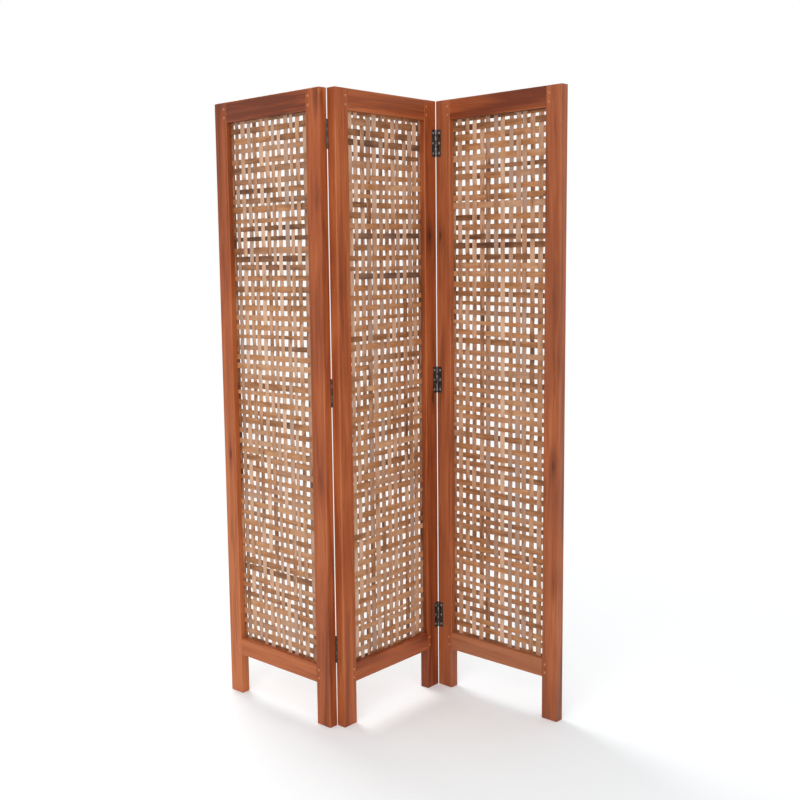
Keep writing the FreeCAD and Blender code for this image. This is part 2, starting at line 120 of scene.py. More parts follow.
class ScreenSizes(bpy.types.PropertyGroup):
    """Sizes that the frame doesn't give."""

    half_fold: FloatProperty(
        name="Half fold",
        description="Turn of each leaf from the line of the screen",
        default=math.radians(46),
        subtype="ANGLE",
        unit="ROTATION",
    )
    outer_round: length("Outer rounding", "Radius along the outer edges of the frame", 1.7)
    inner_round: length("Inner rounding", "Radius along the edges round the opening", 1.2)
    hinge_ease: length("Hinge edge easing", "Radius along the edges that the hinges join", 0.3)
    end_ease: length("End easing", "How far the ends of the stiles are eased", 1)
    bead_round: length("Bead rounding", "Radius along the edges of a retaining bead", 0.8)
    rebate: length("Rebate", "Width and depth of the rebate round the opening", 10)
    tenon_length: length("Tenon length", "Length of a tenon past its shoulder", 34)
    tenon_setback: length("Tenon setback", "From the front face to a tenon", 5)
    tenon_thickness: length("Tenon thickness", "Thickness of a tenon", 8)
    tenon_shoulder: length("Tenon shoulder", "Cut from the edges of a rail at its tenon", 5)
    tenon_ease: length("Tenon easing", "Radius along the edges of a tenon", 0.2)
    top_shoulder: length("Top shoulder", "Cut from the outer edge of a top rail at its tenon", 10)
    joint_clearance: length("Joint clearance", "Space round a tenon in its mortise", 0.1)
    peg_side: length("Peg side", "Side of a square peg", 6)
    peg_spacing: length("Peg spacing", "Between the two pegs of a joint", 23)
    peg_setback: length("Peg setback", "From a stile's inner edge to the middle of its pegs", 9)
    peg_proud: length("Peg stand-out", "How far a peg stands out of the front face", 0.3)
    peg_trim: length("Peg trim", "How far the corners of a peg are trimmed", 0.5)
    peg_clearance: length("Peg clearance", "Space round a peg in its hole", 0.05)
    strip_thickness: length("Strip thickness", "Thickness of a cane strip", 0.9)
    strip_edge: length("Strip edge", "Easing along the edges of a cane strip", 0.2)
    strip_clearance: length("Strip clearance", "Space between two strips side by side", 0.5)
    crossing_clearance: length("Crossing clearance", "How far a strip stays flat past another", 0.4)
    weft_width: length("Level strip width", "Mean width of a level strip", 15.2)
    warp_width: length("Upright strip width", "Mean width of an upright strip", 14.8)
    weft_swing: length("Level strip swing", "How far a level strip bends off the mat's middle", 0.42)
    warp_swing: length("Upright strip swing", "How far an upright strip bends off it", 0.62)
    weft_drift: length("Level strip drift", "How far a level strip lies off its even place", 4.2)
    warp_drift: length("Upright strip drift", "How far an upright strip lies off its even place", 2.8)
    weft_slant: length("Level strip slant", "How much level strips slant", 1.3)
    warp_slant: length("Upright strip slant", "How much upright strips slant", 1.5)
    weft_bow: length("Level strip bow", "How much level strips bow", 0.5)
    warp_bow: length("Upright strip bow", "How much upright strips bow", 1.1)
    border_width: length("Border strip width", "Width of the strips along the edges of a mat", 7.5)
    border_gap: length("Border strip gap", "From the frame to a border strip", 0.4)
    knuckle_radius: length("Knuckle radius", "Outer radius of a hinge's barrel", 3)
    knuckle_clearance: length("Knuckle clearance", "Space round a barrel in its recess", 0.3)
    knuckle_gap: length("Knuckle gap", "From a knuckle's end to the middle of its joint", 0.15)
    knuckle_ease: length("Knuckle easing", "How far the ends of a knuckle are eased", 0.25)
    pin_radius: length("Pin radius", "Radius of a hinge pin", 1.5)
    pin_clearance: length("Pin clearance", "Space round a pin in its knuckles", 0.05)
    pin_dome: length("Pin dome", "Height of the domed end of a pin", 0.5)
    plate_thickness: length("Plate thickness", "Thickness of a hinge plate", 1.2)
    plate_round: length("Plate corners", "Radius of the corners of a hinge plate", 0.7)
    plate_bevel: length("Plate bevel", "Bevel round the face of a hinge plate", 0.2)
    plate_clearance: length("Plate clearance", "Space round a hinge plate in its recess", 0.1)
    screw_head: length("Screw head", "Radius of the head of a hinge screw", 3.1)
    screw_hole: length("Screw hole", "Radius of the hole under a screw's head", 1.9)
    screw_clearance: length("Screw clearance", "Space round a screw's head", 0.15)
    screw_spread: length("Screw spread", "From a hinge's middle to its outer screws", 28)
    slot_width: length("Slot width", "Width of the slot in a screw's head", 0.84)
    weft_count: count("Level strips", "Level strips in one leaf", 54)
    warp_count: count("Upright strips", "Upright strips in one leaf", 12)
    knuckle_count: count("Knuckles", "Knuckles in one hinge barrel", 5, least=3)


class ScreenColours(bpy.types.PropertyGroup):
    """Colours of the finishes."""

    wood_dark: colour("Dark wood", "Dark streaks of the hardwood", 110, 50, 27)
    wood_middle: colour("Wood", "Main colour of the hardwood", 163, 83, 43)
    wood_light: colour("Light wood", "Light streaks of the hardwood", 190, 109, 63)
    wood_worn: colour("Worn wood", "Hardwood where its edges are worn", 194, 120, 76)
    wood_dusty: colour("Dusty wood", "Greyed tan of the browner boards", 160, 120, 95)
    pore: colour("Pores", "Pores and knots of the hardwood", 58, 26, 15)
    peg_end: colour("Peg end", "End grain of the pegs", 196, 122, 80)
    bead: colour("Bead", "Retaining beads at the back", 150, 84, 48)
    cane_dark: colour("Dark cane", "Darkest cane strips", 90, 58, 40)
    cane_brown: colour("Brown cane", "Brown cane strips", 140, 93, 60)
    cane_orange: colour("Orange cane", "Orange-brown cane strips", 181, 125, 82)
    cane_tan: colour("Tan cane", "Tan cane strips", 208, 164, 127)
    cane_rosy: colour("Rosy cane", "Rosy brown cane strips", 183, 136, 103)
    cane_blush: colour("Blush cane", "Light rosy cane strips", 208, 166, 136)
    cane_pale: colour("Pale cane", "Palest cane strips", 222, 185, 158)
    cane_grey: colour("Grey cane", "Greyed cane strips", 156, 130, 116)
    hinge: colour("Hinge", "Dark finish of the hinges", 47, 36, 32)
    # Also the painted highlight on the hinges' barrels, and the scratches on the screws.
    hinge_worn: colour("Worn hinge", "Hinge where its finish is rubbed", 150, 142, 138)
    screw: colour("Screw", "Screw heads", 186, 172, 160)
    floor: colour("Floor", "Floor under the screen", 246, 250, 252)


def sizes():
    """The sizes as the user has set them."""
    return bpy.context.scene.folding_screen_sizes


def colours():
    """The colours as the user has set them."""
    return bpy.context.scene.folding_screen_colours


# Places


def extent(places):
    """The lowest and the highest corner of the box round some places."""
    spans = [(min(values), max(values)) for values in zip(*places)]
    return Vector([low for low, high in spans]), Vector([high for low, high in spans])


def any_place(chance, reach):
    """A place anywhere in a cube."""
    return Vector([chance.uniform(0, reach) for axis in range(3)])


@functools.cache
def leaf_matrix(leaf):
    """Where a leaf's own frame lies: x across, y back from its front face, z up."""
    turn = Matrix.Rotation(LEAF_TURN[leaf] * sizes().half_fold, 4, "Z")
    inverse = turn.inverted()
    places = []
    for side in SIDES:
        stile = frame["nodes"][f"{leaf}_leaf_{side}_stile"]
        places += [inverse @ vertex.co for vertex in stile.data.vertices]
    return turn @ Matrix.Translation(extent(places)[0])


@functools.cache
def local_box(leaf, node):
    """The lowest and highest corner of a node in its leaf's own frame."""
    inverse = leaf_matrix(leaf).inverted()
    return extent([inverse @ vertex.co for vertex in frame["nodes"][node].data.vertices])


@functools.cache
def leaf_layout(leaf):
    """The edges of a leaf's opening, and the leaf's depth, read off its stiles and rails."""
    left_stile = local_box(leaf, f"{leaf}_leaf_left_stile")[1]
    return SimpleNamespace(
        depth=left_stile.y,
        left=left_stile.x,
        right=local_box(leaf, f"{leaf}_leaf_right_stile")[0].x,
        low=local_box(leaf, f"{leaf}_leaf_bottom_rail")[1].z,
        high=local_box(leaf, f"{leaf}_leaf_top_rail")[0].z,
    )


# Shapes

WELD_REACH = 1e-7
SHARP_ANGLE = math.radians(35)


class Shape:
    """The points and faces of a piece that is being made."""

    def __init__(self):
        self.points = []
        self.faces = []

    def loft(self, rings):
        """Skin a row of rings that have as many points each, and close both ends."""
        start = len(self.points)
        size = len(rings[0])
        for ring in rings:
            self.points.extend(Vector(point) for point in ring)
        for row in range(len(rings) - 1):
            for step in range(size):
                here = start + row * size + step
                following = start + row * size + (step + 1) % size
                self.faces.append((here, following, following + size, here + size))
        self.faces.append(tuple(range(start + size - 1, start - 1, -1)))
        last = start + (len(rings) - 1) * size
        self.faces.append(tuple(range(last, last + size)))

    def box(self, low, high):
        """A plain block."""
        outline = ((low[0], low[1]), (high[0], low[1]), (high[0], high[1]), (low[0], high[1]))
        self.loft([[(x, y, z) for x, y in outline] for z in (low[2], high[2])])

    def mesh(self, name, weld=True):
        """The finished mesh, its normals facing out. Unwelded, it keeps every point in its order."""
        mesh = bpy.data.meshes.new(name)
        mesh.from_pydata(self.points, [], self.faces)
        work = bmesh.new()
        work.from_mesh(mesh)
        if weld:
            bmesh.ops.remove_doubles(work, verts=work.verts, dist=WELD_REACH)
        bmesh.ops.recalc_face_normals(work, faces=work.faces)
        work.to_mesh(mesh)
        work.free()
        return mesh


def carve(mesh, cutter, operation="DIFFERENCE"):
    """A mesh with a cutter's shape taken out of it, or added to it."""
    body = bpy.data.objects.new("carved", mesh)
    tool = bpy.data.objects.new("cutter", cutter.mesh("cutter"))
    for part in (body, tool):
        bpy.context.scene.collection.objects.link(part)
    cut = body.modifiers.new("cut", "BOOLEAN")
    cut.object = tool
    cut.operation = operation
    cut.solver = "EXACT"
    bpy.context.view_layer.update()
    result = bpy.data.meshes.new_from_object(
        body.evaluated_get(bpy.context.evaluated_depsgraph_get())
    )
    result.name = mesh.name
    for part in (body, tool):
        data = part.data
        bpy.data.objects.remove(part)
        bpy.data.meshes.remove(data)
    if not result.polygons:
        raise RuntimeError(f"nothing is left of {result.name}")
    return result


def mark(mesh, **marks):
    """Keep numbers or vectors for every point, which the finishes read by name."""
    for name, values in marks.items():
        if isinstance(values[0], Vector):
            attribute = mesh.attributes.new(name, "FLOAT_VECTOR", "POINT")
            attribute.data.foreach_set("vector", [number for vector in values for number in vector])
        else:
            attribute = mesh.attributes.new(name, "FLOAT", "POINT")
            attribute.data.foreach_set("value", values)


def set_piece(mesh, name, body, finish, nodes=(), sharp=SHARP_ANGLE):
    """Turn a mesh into a piece that rides on a body, and that stands for nodes."""
    mesh.shade_smooth()
    mesh.set_sharp_from_angle(angle=sharp)
    mesh.materials.clear()
    mesh.materials.append(finish)
    mesh.name = name
    piece = bpy.data.objects.new(name, mesh)
    bpy.context.scene.collection.objects.link(piece)
    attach(piece, body)
    if nodes:
        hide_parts(*nodes)


def set_in_leaf(mesh, leaf, node, finish, sharp=SHARP_ANGLE):
    """The same for a mesh made in a leaf's own frame, which stands for one node."""
    mesh.transform(leaf_matrix(leaf))
    set_piece(mesh, f"{node}_piece", f"{leaf}_leaf", finish, (node,), sharp)


# Finishes


class Wiring:
    """A tree of shader nodes that are added and wired one by one."""

    def __init__(self, tree):
        self.tree = tree

    def plug(self, socket, value):
        """Wire an output into a socket, or set the socket's own value."""
        if isinstance(value, bpy.types.NodeSocket):
            self.tree.links.new(value, socket)
        elif socket.type == "RGBA":
            socket.default_value = (*value, 1.0)
        else:
            socket.default_value = value

    def add(self, kind, inputs, **settings):
        """A new node with its settings, and what goes into each input by name or number."""
        node = self.tree.nodes.new(f"ShaderNode{kind}")
        for name, value in settings.items():
            setattr(node, name, value)
        for key, value in inputs.items():
            self.plug(node.inputs[key], value)
        return node

    def combine(self, operation, values):
        """One number out of several, which are taken in turn."""
        result = values[0]
        for value in values[1:]:
            result = self.add("Math", {0: result, 1: value}, operation=operation).outputs[0]
        return result

    def sum(self, *values):
        return self.combine("ADD", values)

    def times(self, *values):
        return self.combine("MULTIPLY", values)

    def between(self, value, low, high, to_low=0.0, to_high=1.0):
        """A value's place between two others, held to that range."""
        inputs = {"Value": value, "From Min": low, "From Max": high, "To Min": to_low, "To Max": to_high}
        return self.add("MapRange", inputs).outputs["Result"]


class Finish(Wiring):
    """A material. Its patterns follow the piece's own grain: waves in a metre along and across it."""

    MIX_FIRST = 6
    MIX_SECOND = 7
    MIX_RESULT = 2

    def __init__(self, name):
        self.material = bpy.data.materials.new(name)
        self.material.use_nodes = True
        super().__init__(self.material.node_tree)
        self.shader = self.tree.nodes["Principled BSDF"]

    def stored(self, name, part="Fac"):
        return self.add("Attribute", {}, attribute_name=name).outputs[part]

    def waves(self, along, across, deep=None):
        """Places in the piece's grain, stretched. Without a number, deep goes as across does."""
        inputs = {0: self.stored("grain_place", "Vector"), 1: (along, across, deep or across)}
        return self.add("VectorMath", inputs, operation="MULTIPLY").outputs[0]

    def noise(self, along, across, deep=None, detail=3.0, roughness=0.5, distortion=0.0):
        inputs = {
            "Vector": self.waves(along, across, deep),
            "Scale": 1.0,
            "Detail": detail,
            "Roughness": roughness,
            "Distortion": distortion,
        }
        return self.add("TexNoise", inputs).outputs["Fac"]

    def cells(self, along, across):
        """How far the middle of the nearest cell is, and a colour by chance for each cell."""
        node = self.add("TexVoronoi", {"Vector": self.waves(along, across), "Scale": 1.0})
        return node.outputs["Distance"], node.outputs["Color"]

    def ramp(self, value, *stops):
        """A colour looked up between stops, each a place and a colour."""
        node = self.add("ValToRGB", {"Fac": value})
        marks = node.color_ramp.elements
        while len(marks) < len(stops):
            marks.new(1.0)
        for stop, (place, shade) in zip(marks, stops):
            stop.position = place
            stop.color = (*shade, 1.0)
        return node.outputs["Color"]

    def mix(self, share, first, second):
        inputs = {"Factor": share, self.MIX_FIRST: first, self.MIX_SECOND: second}
        return self.add("Mix", inputs, data_type="RGBA").outputs[self.MIX_RESULT]

    def bump(self, height, distance, strength):
        node = self.add("Bump", {"Distance": distance, "Strength": strength, "Height": height})
        self.plug(self.shader.inputs["Normal"], node.outputs["Normal"])

    def coat(self, shade, roughness, metallic=0.0, specular=0.5):
        """Give the shader its colour and roughness, and the values that are the same all over."""
        values = {
            "Base Color": shade,
            "Roughness": roughness,
            "Metallic": metallic,
            "Specular IOR Level": specular,
        }
        for name, value in values.items():
            self.plug(self.shader.inputs[name], value)
        return self.material


@functools.cache
def hardwood():
    """Red-brown hardwood under a satin varnish: figure, streaks, pores, knots and worn edges."""
    shades = colours()
    finish = Finish("Hardwood")
    figure = finish.noise(1.5, 24, distortion=1.5)
    streak = finish.noise(6, 240, detail=4, roughness=0.58)
    cloud = finish.noise(3, 11, detail=2)
    distance, chance = finish.cells(6, 21)
    rare = finish.between(chance, 0.66, 0.68)
    halo = finish.times(finish.between(distance, 0.4, 0.1), rare)
    knot = finish.times(finish.between(distance, 0.13, 0.06), rare)
    blend = finish.sum(
        finish.times(figure, 0.48),
        finish.times(streak, 0.2),
        finish.times(cloud, 0.32),
        finish.times(finish.stored("tone"), 0.22),
        finish.times(halo, -0.1),
    )
    stops = ((0.34, shades.wood_dark), (0.5, shades.wood_middle), (0.68, shades.wood_light))
    shade = finish.mix(finish.stored("tint"), finish.ramp(blend, *stops), shades.wood_dusty)
    vein = finish.noise(4, 105, roughness=0.6, distortion=0.8)
    shade = finish.mix(finish.between(vein, 0.52, 0.66, 0.0, 0.42), shade, shades.wood_dark)
    pores = finish.between(finish.noise(46, 1900, detail=2, roughness=0.7), 0.6, 0.74)
    shade = finish.mix(finish.times(pores, 0.3), shade, shades.pore)
    shade = finish.mix(finish.times(knot, 0.6), shade, shades.pore)
    worn = finish.times(finish.stored("edge"), finish.between(cloud, 0.42, 0.62))
    shade = finish.mix(finish.times(worn, 0.4), shade, shades.wood_worn)
    finish.bump(finish.sum(finish.times(streak, 0.5), finish.times(pores, -0.6)), 0.0004, 0.25)
    return finish.coat(shade, finish.between(streak, 0.3, 0.7, 0.36, 0.5), specular=0.24)


@functools.cache
def peg_wood():
    """Paler end grain with its rings, and the colour of the stile on its sides."""
    shades = colours()
    finish = Finish("Peg End Grain")
    rings = finish.noise(260, 260, 40, distortion=1.4)
    shade = finish.ramp(rings, (0.3, shades.wood_light), (0.6, shades.peg_end))
    shade = finish.mix(finish.times(finish.stored("edge"), 0.7), shade, shades.wood_middle)
    finish.bump(rings, 0.0002, 0.3)
    return finish.coat(shade, finish.between(rings, 0.3, 0.7, 0.42, 0.6))


@functools.cache
def bead_wood():
    """Plainer wood for the battens behind, left a little rough."""
    shades = colours()
    finish = Finish("Bead Wood")
    streak = finish.noise(8, 420, detail=5, roughness=0.6)
    blend = finish.sum(finish.times(streak, 0.8), finish.times(finish.stored("tone"), 0.3))
    shade = finish.ramp(blend, (0.3, shades.wood_dark), (0.55, shades.bead), (0.8, shades.wood_light))
    finish.bump(streak, 0.0004, 0.4)
    return finish.coat(shade, finish.between(streak, 0.3, 0.7, 0.5, 0.66))


def cane(name, grey_share, *stops):
    """Split cane: a shade for each strip that drifts along it, fibres, and greyed patches."""
    shades = colours()
    finish = Finish(name)
    drift = finish.noise(6, 20, detail=2)
    fibre = finish.noise(22, 1300, detail=4, roughness=0.6)
    patch = finish.noise(26, 110)
    blend = finish.sum(
        finish.stored("tone"),
        finish.between(drift, 0.3, 0.7, -0.24, 0.24),
        finish.between(patch, 0.3, 0.7, -0.14, 0.14),
        finish.between(fibre, 0.3, 0.7, -0.1, 0.1),
    )
    greyed = finish.times(
        finish.between(finish.stored("tint"), 0.45, 1.0), grey_share, finish.between(drift, 0.38, 0.6)
    )
    shade = finish.mix(greyed, finish.ramp(blend, *stops), shades.cane_grey)
    line = finish.between(fibre, 0.56, 0.7)
    shade = finish.mix(finish.times(line, 0.3), shade, shades.cane_dark)
    shade = finish.mix(finish.times(finish.stored("edge"), 0.35), shade, shades.cane_brown)
    finish.bump(fibre, 0.0003, 0.4)
    return finish.coat(shade, finish.between(fibre, 0.3, 0.7, 0.4, 0.6), specular=0.3)


@functools.cache
def level_cane():
    """The level strips run from dark brown to orange and tan."""
    shades = colours()
    return cane(
        "Level Cane", 0.45, (0.0, shades.cane_dark), (0.27, shades.cane_brown),
        (0.58, shades.cane_orange), (1.0, shades.cane_tan),
    )


@functools.cache
def upright_cane():
    """The upright strips are paler and rosier, and more of them have greyed."""
    shades = colours()
    return cane(
        "Upright Cane", 0.8, (0.0, shades.cane_dark), (0.2, shades.cane_brown),
        (0.42, shades.cane_rosy), (0.66, shades.cane_blush), (1.0, shades.cane_pale),
    )


@functools.cache
def dark_metal():
    """Dark brown hinge finish, worn bright where it stands out, and lightened on its barrels as a painted
    highlight.
    """
    shades = colours()
    finish = Finish("Hinge Metal")
    cloud = finish.noise(140, 140, detail=4)
    # Worn metal, which on the barrels also stands for a painted highlight.
    rub_and_glint = finish.times(finish.stored("edge"), finish.between(cloud, 0.38, 0.6), 0.9)
    shade = finish.mix(finish.between(cloud, 0.35, 0.7, 0.0, 0.35), shades.hinge, shades.pore)
    shade = finish.mix(rub_and_glint, shade, shades.hinge_worn)
    finish.bump(finish.noise(900, 900), 0.00015, 0.3)
    return finish.coat(shade, finish.between(cloud, 0.3, 0.7, 0.3, 0.5), metallic=0.55)


@functools.cache
def screw_metal():
    """Plain steel screws, dulled by fine scratches."""
    shades = colours()
    finish = Finish("Screw Metal")
    scratch = finish.noise(700, 2600, 700)
    shade = finish.mix(finish.between(scratch, 0.4, 0.75, 0.0, 0.5), shades.screw, shades.hinge_worn)
    finish.bump(scratch, 0.0001, 0.3)
    return finish.coat(shade, finish.between(scratch, 0.3, 0.7, 0.3, 0.5), metallic=0.6)


# Frame members

CORNER_STEPS = 4

# From a rounding to the extra point beside it, on a wide section and on a small one.
FACE_GUARD = 2.5 * MM
SMALL_GUARD = MM

# How far a cutting tool runs past the face that it cuts.
OVERRUN = MM

# The first entry whose words are in a member's name holds. The top rails are darker, and the
# bottom rails lighter. The left leaf's outer stile is much lighter, partly a painted sheen.
MEMBER_TONES = {
    "left_leaf_top": -0.5,
    "middle_leaf_top": 0.05,
    "right_leaf_top": -0.4,
    "middle_leaf_bottom": 0.05,
    "right_leaf_bottom": 0.5,
    "bottom_rail": 0.4,
    "left_leaf_left_stile": 1.2,
    "middle_leaf_left": -0.05,
    "middle_leaf_right": -0.05,
    "right_leaf_left_stile": 0.15,
}
TONE_SPREAD = 0.15

# How much darker a stile grows towards its top: the fall at one metre, which grows as the cube.
# On the left leaf's outer stile its light foot and this fall are partly a painted sheen low on its face.
TONE_FALLS = {"left_leaf_left_stile": 0.36, "right_leaf_right_stile": 0.06}

# How much of a greyed tan the browner boards hold.
MEMBER_TINTS = {
    "right_leaf_bottom": 0.35,
    "right_leaf_left_stile": 0.14,
    "right_leaf_right_stile": 0.14,
}

# A member's grain starts at a place of its own in a block of wood this wide, and its worn edges
# reach a little past their rounding.
WOOD_GRAIN_REACH = 40
WORN_REACH_SHARE = 1.05


def rounded_corner(corner, incoming, outgoing, radius, guard):
    """A rounded corner between two sides, with a point on each side just past it."""
    points = [corner - incoming * (radius + guard)]
    centre = corner - incoming * radius + outgoing * radius
    for step in range(CORNER_STEPS + 1):
        angle = math.pi / 2 * step / CORNER_STEPS
        points.append(centre - outgoing * radius * math.cos(angle) + incoming * radius * math.sin(angle))
    points.append(corner + outgoing * (radius + guard))
    return points


def rebated_corner(corner, incoming, outgoing, cut, guard):
    """The same corner with a step cut out of it, in as many points."""
    start = corner - incoming * cut
    inside = start + outgoing * cut
    end = corner + outgoing * cut
    middles = (start + inside) / 2, (inside + end) / 2
    return [start - incoming * guard, start, middles[0], inside, middles[1], end, end + outgoing * guard]


def member_section(low, high, radii, guard=FACE_GUARD, rebate_at=None):
    """The outline of a stile or rail, as a ring of points round its four corners."""
    corners = [
        Vector((low[0], low[1])),
        Vector((high[0], low[1])),
        Vector((high[0], high[1])),
        Vector((low[0], high[1])),
    ]
    ring = []
    for index, corner in enumerate(corners):
        incoming = (corner - corners[index - 1]).normalized()
        outgoing = (corners[(index + 1) % len(corners)] - corner).normalized()
        if index == rebate_at:
            ring += rebated_corner(corner, incoming, outgoing, sizes().rebate, guard)
        else:
            ring += rounded_corner(corner, incoming, outgoing, radii[index], guard)
    return ring


def skin_bar(name, stations, upright):
    """The mesh of a bar, from its sections at places along it."""
    rings = []
    for along, section in stations:
        rings.append([(p.x, p.y, along) if upright else (along, p.y, p.x) for p in section])
    shape = Shape()
    shape.loft(rings)
    return shape.mesh(name)


def named_value(table, name):
    """The first value whose words are in this name, or zero."""
    return next((value for words, value in table.items() if words in name), 0.0)


def mark_member(mesh, upright, low, high, chance):
    """Mark the member's grain, which runs along it, its worn edges, its tone and its tint."""
    start = any_place(chance, WOOD_GRAIN_REACH)
    base = chance.uniform(-TONE_SPREAD, TONE_SPREAD) + named_value(MEMBER_TONES, mesh.name)
    fall = named_value(TONE_FALLS, mesh.name)
    reach = sizes().outer_round * WORN_REACH_SHARE
    grain, edges, tones = [], [], []
    for vertex in mesh.vertices:
        x, y, z = vertex.co
        along, across = (z, x) if upright else (x, z)
        grain.append(start + Vector((along, across, y)))
        aside = min(abs(across - low[0]), abs(across - high[0]))
        deep = min(abs(y - low[1]), abs(y - high[1]))
        edges.append(1.0 if max(aside, deep) < reach else 0.0)
        tones.append(base - fall * along**3)
    tint = named_value(MEMBER_TINTS, mesh.name)
    mark(mesh, grain_place=grain, edge=edges, tone=tones, tint=[tint] * len(grain))


def tenon_span(leaf, place):
    """How low and how high the tenons of a rail are."""
    size = sizes()
    low, high = local_box(leaf, f"{leaf}_leaf_{place}_rail")
    upper = size.top_shoulder if place == "top" else size.tenon_shoulder
    return low.z + size.tenon_shoulder, high.z - upper


def peg_places(leaf, side):
    """The middles of the pegs in one stile, as places across the leaf and up it."""
    size = sizes()
    layout = leaf_layout(leaf)
    column = layout.left - size.peg_setback if side == "left" else layout.right + size.peg_setback
    places = []
    for rail in RAILS:
        low, high = tenon_span(leaf, rail)
        for way in (-1, 1):
            places.append((column, (low + high) / 2 + way * size.peg_spacing / 2))
    return places


def peg_holes(leaf, sides):
    """The tool that cuts the square holes, from in front of the leaf to the tenons' backs."""
    size = sizes()
    half = size.peg_side / 2 + size.peg_clearance
    back = size.tenon_setback + size.tenon_thickness + size.peg_clearance
    tool = Shape()
    for side in sides:
        for column, height in peg_places(leaf, side):
            tool.box((column - half, -OVERRUN, height - half), (column + half, back, height + half))
    return tool


def mortises(leaf, side):
    """The tool that cuts the two mortises of a stile."""
    size = sizes()
    layout = leaf_layout(leaf)
    clear = size.joint_clearance
    reach = size.tenon_length + clear
    if side == "left":
        start, end = layout.left - reach, layout.left + OVERRUN
    else:
        start, end = layout.right - OVERRUN, layout.right + reach
    front, back = size.tenon_setback - clear, size.tenon_setback + size.tenon_thickness + clear
    tool = Shape()
    for rail in RAILS:
        low, high = tenon_span(leaf, rail)
        tool.box((start, front, low - clear), (end, back, high + clear))
    return tool


def hinge_recesses(leaf, side):
    """The tool that lets three hinges into a stile: a bed for each plate, deeper at its barrel."""
    size = sizes()
    reach = size.knuckle_radius + size.knuckle_clearance
    clear = size.plate_clearance
    bed = -size.plate_thickness
    tool = Shape()
    for place in HINGE_PLACES:
        seat = HingeSeat(HINGED_EDGE[leaf, side], place, leaf)
        far, pit = seat.plate_end + clear, seat.pin_depth - reach
        section = (
            (-OVERRUN, OVERRUN), (far, OVERRUN), (far, bed), (reach, bed), (reach, pit), (-OVERRUN, pit)
        )
        heights = (seat.low - clear, seat.high + clear)
        tool.loft([[seat.place(u, v, height) for u, v in section] for height in heights])
    return tool


def make_stile(leaf, side, chance):
    """A stile with its rebate, mortises, peg holes and hinge recesses."""
    size = sizes()
    node = f"{leaf}_leaf_{side}_stile"
    layout = leaf_layout(leaf)
    low, high = local_box(leaf, node)
    joint = HINGED_EDGE.get((leaf, side))
    front = size.hinge_ease if joint == "valley" else size.outer_round
    back = size.hinge_ease if joint == "ridge" else size.outer_round
    inner = size.inner_round
    if side == "left":
        radii, rebate_at = (front, inner, inner, back), 2
    else:
        radii, rebate_at = (inner, front, back, inner), 3
    plain = member_section(low, high, radii)
    rebated = member_section(low, high, radii, rebate_at=rebate_at)
    ease = size.end_ease
    inset = Vector((ease, ease))
    small = member_section(low.xy + inset, high.xy - inset, radii, guard=FACE_GUARD - ease / 2)
    stations = (
        (low.z, small),
        (low.z + ease, plain),
        (layout.low - size.rebate, plain),
        (layout.low - size.rebate, rebated),
        (layout.high + size.rebate, rebated),
        (layout.high + size.rebate, plain),
        (high.z - ease, plain),
        (high.z, small),
    )
    mesh = carve(skin_bar(node, stations, True), mortises(leaf, side))
    mesh = carve(mesh, peg_holes(leaf, (side,)))
    if joint:
        mesh = carve(mesh, hinge_recesses(leaf, side))
    mark_member(mesh, True, low, high, chance)
    set_in_leaf(mesh, leaf, node, hardwood())


def make_rail(leaf, place, chance):
    """A rail with its rebate and tenons, and the peg holes through them."""
    size = sizes()
    node = f"{leaf}_leaf_{place}_rail"
    layout = leaf_layout(leaf)
    low, high = local_box(leaf, node)
    outer, inner = size.outer_round, size.inner_round
    if place == "top":
        radii, rebate_at = (inner, outer, outer, inner), 3
    else:
        radii, rebate_at = (outer, inner, inner, outer), 2
    bar = member_section(low.zy, high.zy, radii, rebate_at=rebate_at)
    tenon_low, tenon_high = tenon_span(leaf, place)
    tenon = member_section(
        (tenon_low, size.tenon_setback),
        (tenon_high, size.tenon_setback + size.tenon_thickness),
        (size.tenon_ease,) * 4,
        guard=SMALL_GUARD,
    )
    stations = (
        (low.x, tenon),
        (layout.left, tenon),
        (layout.left, bar),
        (layout.right, bar),
        (layout.right, tenon),
        (high.x, tenon),
    )
    mesh = carve(skin_bar(node, stations, False), peg_holes(leaf, SIDES))
    mark_member(mesh, False, low.zy, high.zy, chance)
    set_in_leaf(mesh, leaf, node, hardwood())


class FOLDINGSCREEN_OT_members(bpy.types.Operator):
    """Make the stiles and rails of the three leaves, with their joints and rebates"""

    bl_idname = "folding_screen.members"
    bl_label = "Stiles and Rails"

    def execute(self, context):
        chance = random.Random(11)
        for leaf in LEAVES:
            for side in SIDES:
                make_stile(leaf, side, chance)
            for place in RAILS:
                make_rail(leaf, place, chance)
        return {"FINISHED"}


class FOLDINGSCREEN_OT_beads(bpy.types.Operator):
    """Make the battens that hold the mats in their rebates"""

    bl_idname = "folding_screen.beads"
    bl_label = "Retaining Beads"

    def execute(self, context):
        chance = random.Random(23)
        for leaf in LEAVES:
            for side in SIDES + RAILS:
                node = f"{leaf}_leaf_{side}_bead"
                low, high = local_box(leaf, node)
                upright = side in SIDES
                ends = (low.z, high.z) if upright else (low.x, high.x)
                low, high = (low.xy, high.xy) if upright else (low.zy, high.zy)
                section = member_section(low, high, (sizes().bead_round,) * 4, guard=SMALL_GUARD)
                mesh = skin_bar(node, [(end, section) for end in ends], upright)
                mark_member(mesh, upright, low, high, chance)
                set_in_leaf(mesh, leaf, node, bead_wood())
        return {"FINISHED"}


# How thick a peg is at its end, just behind it, just inside the stile and at its back.
PEG_TAPER_SHARES = (0.86, 0.97, 1.0, 0.93)
PEG_LEAN = 0.03 * MM
PEG_GRAIN_REACH = 9


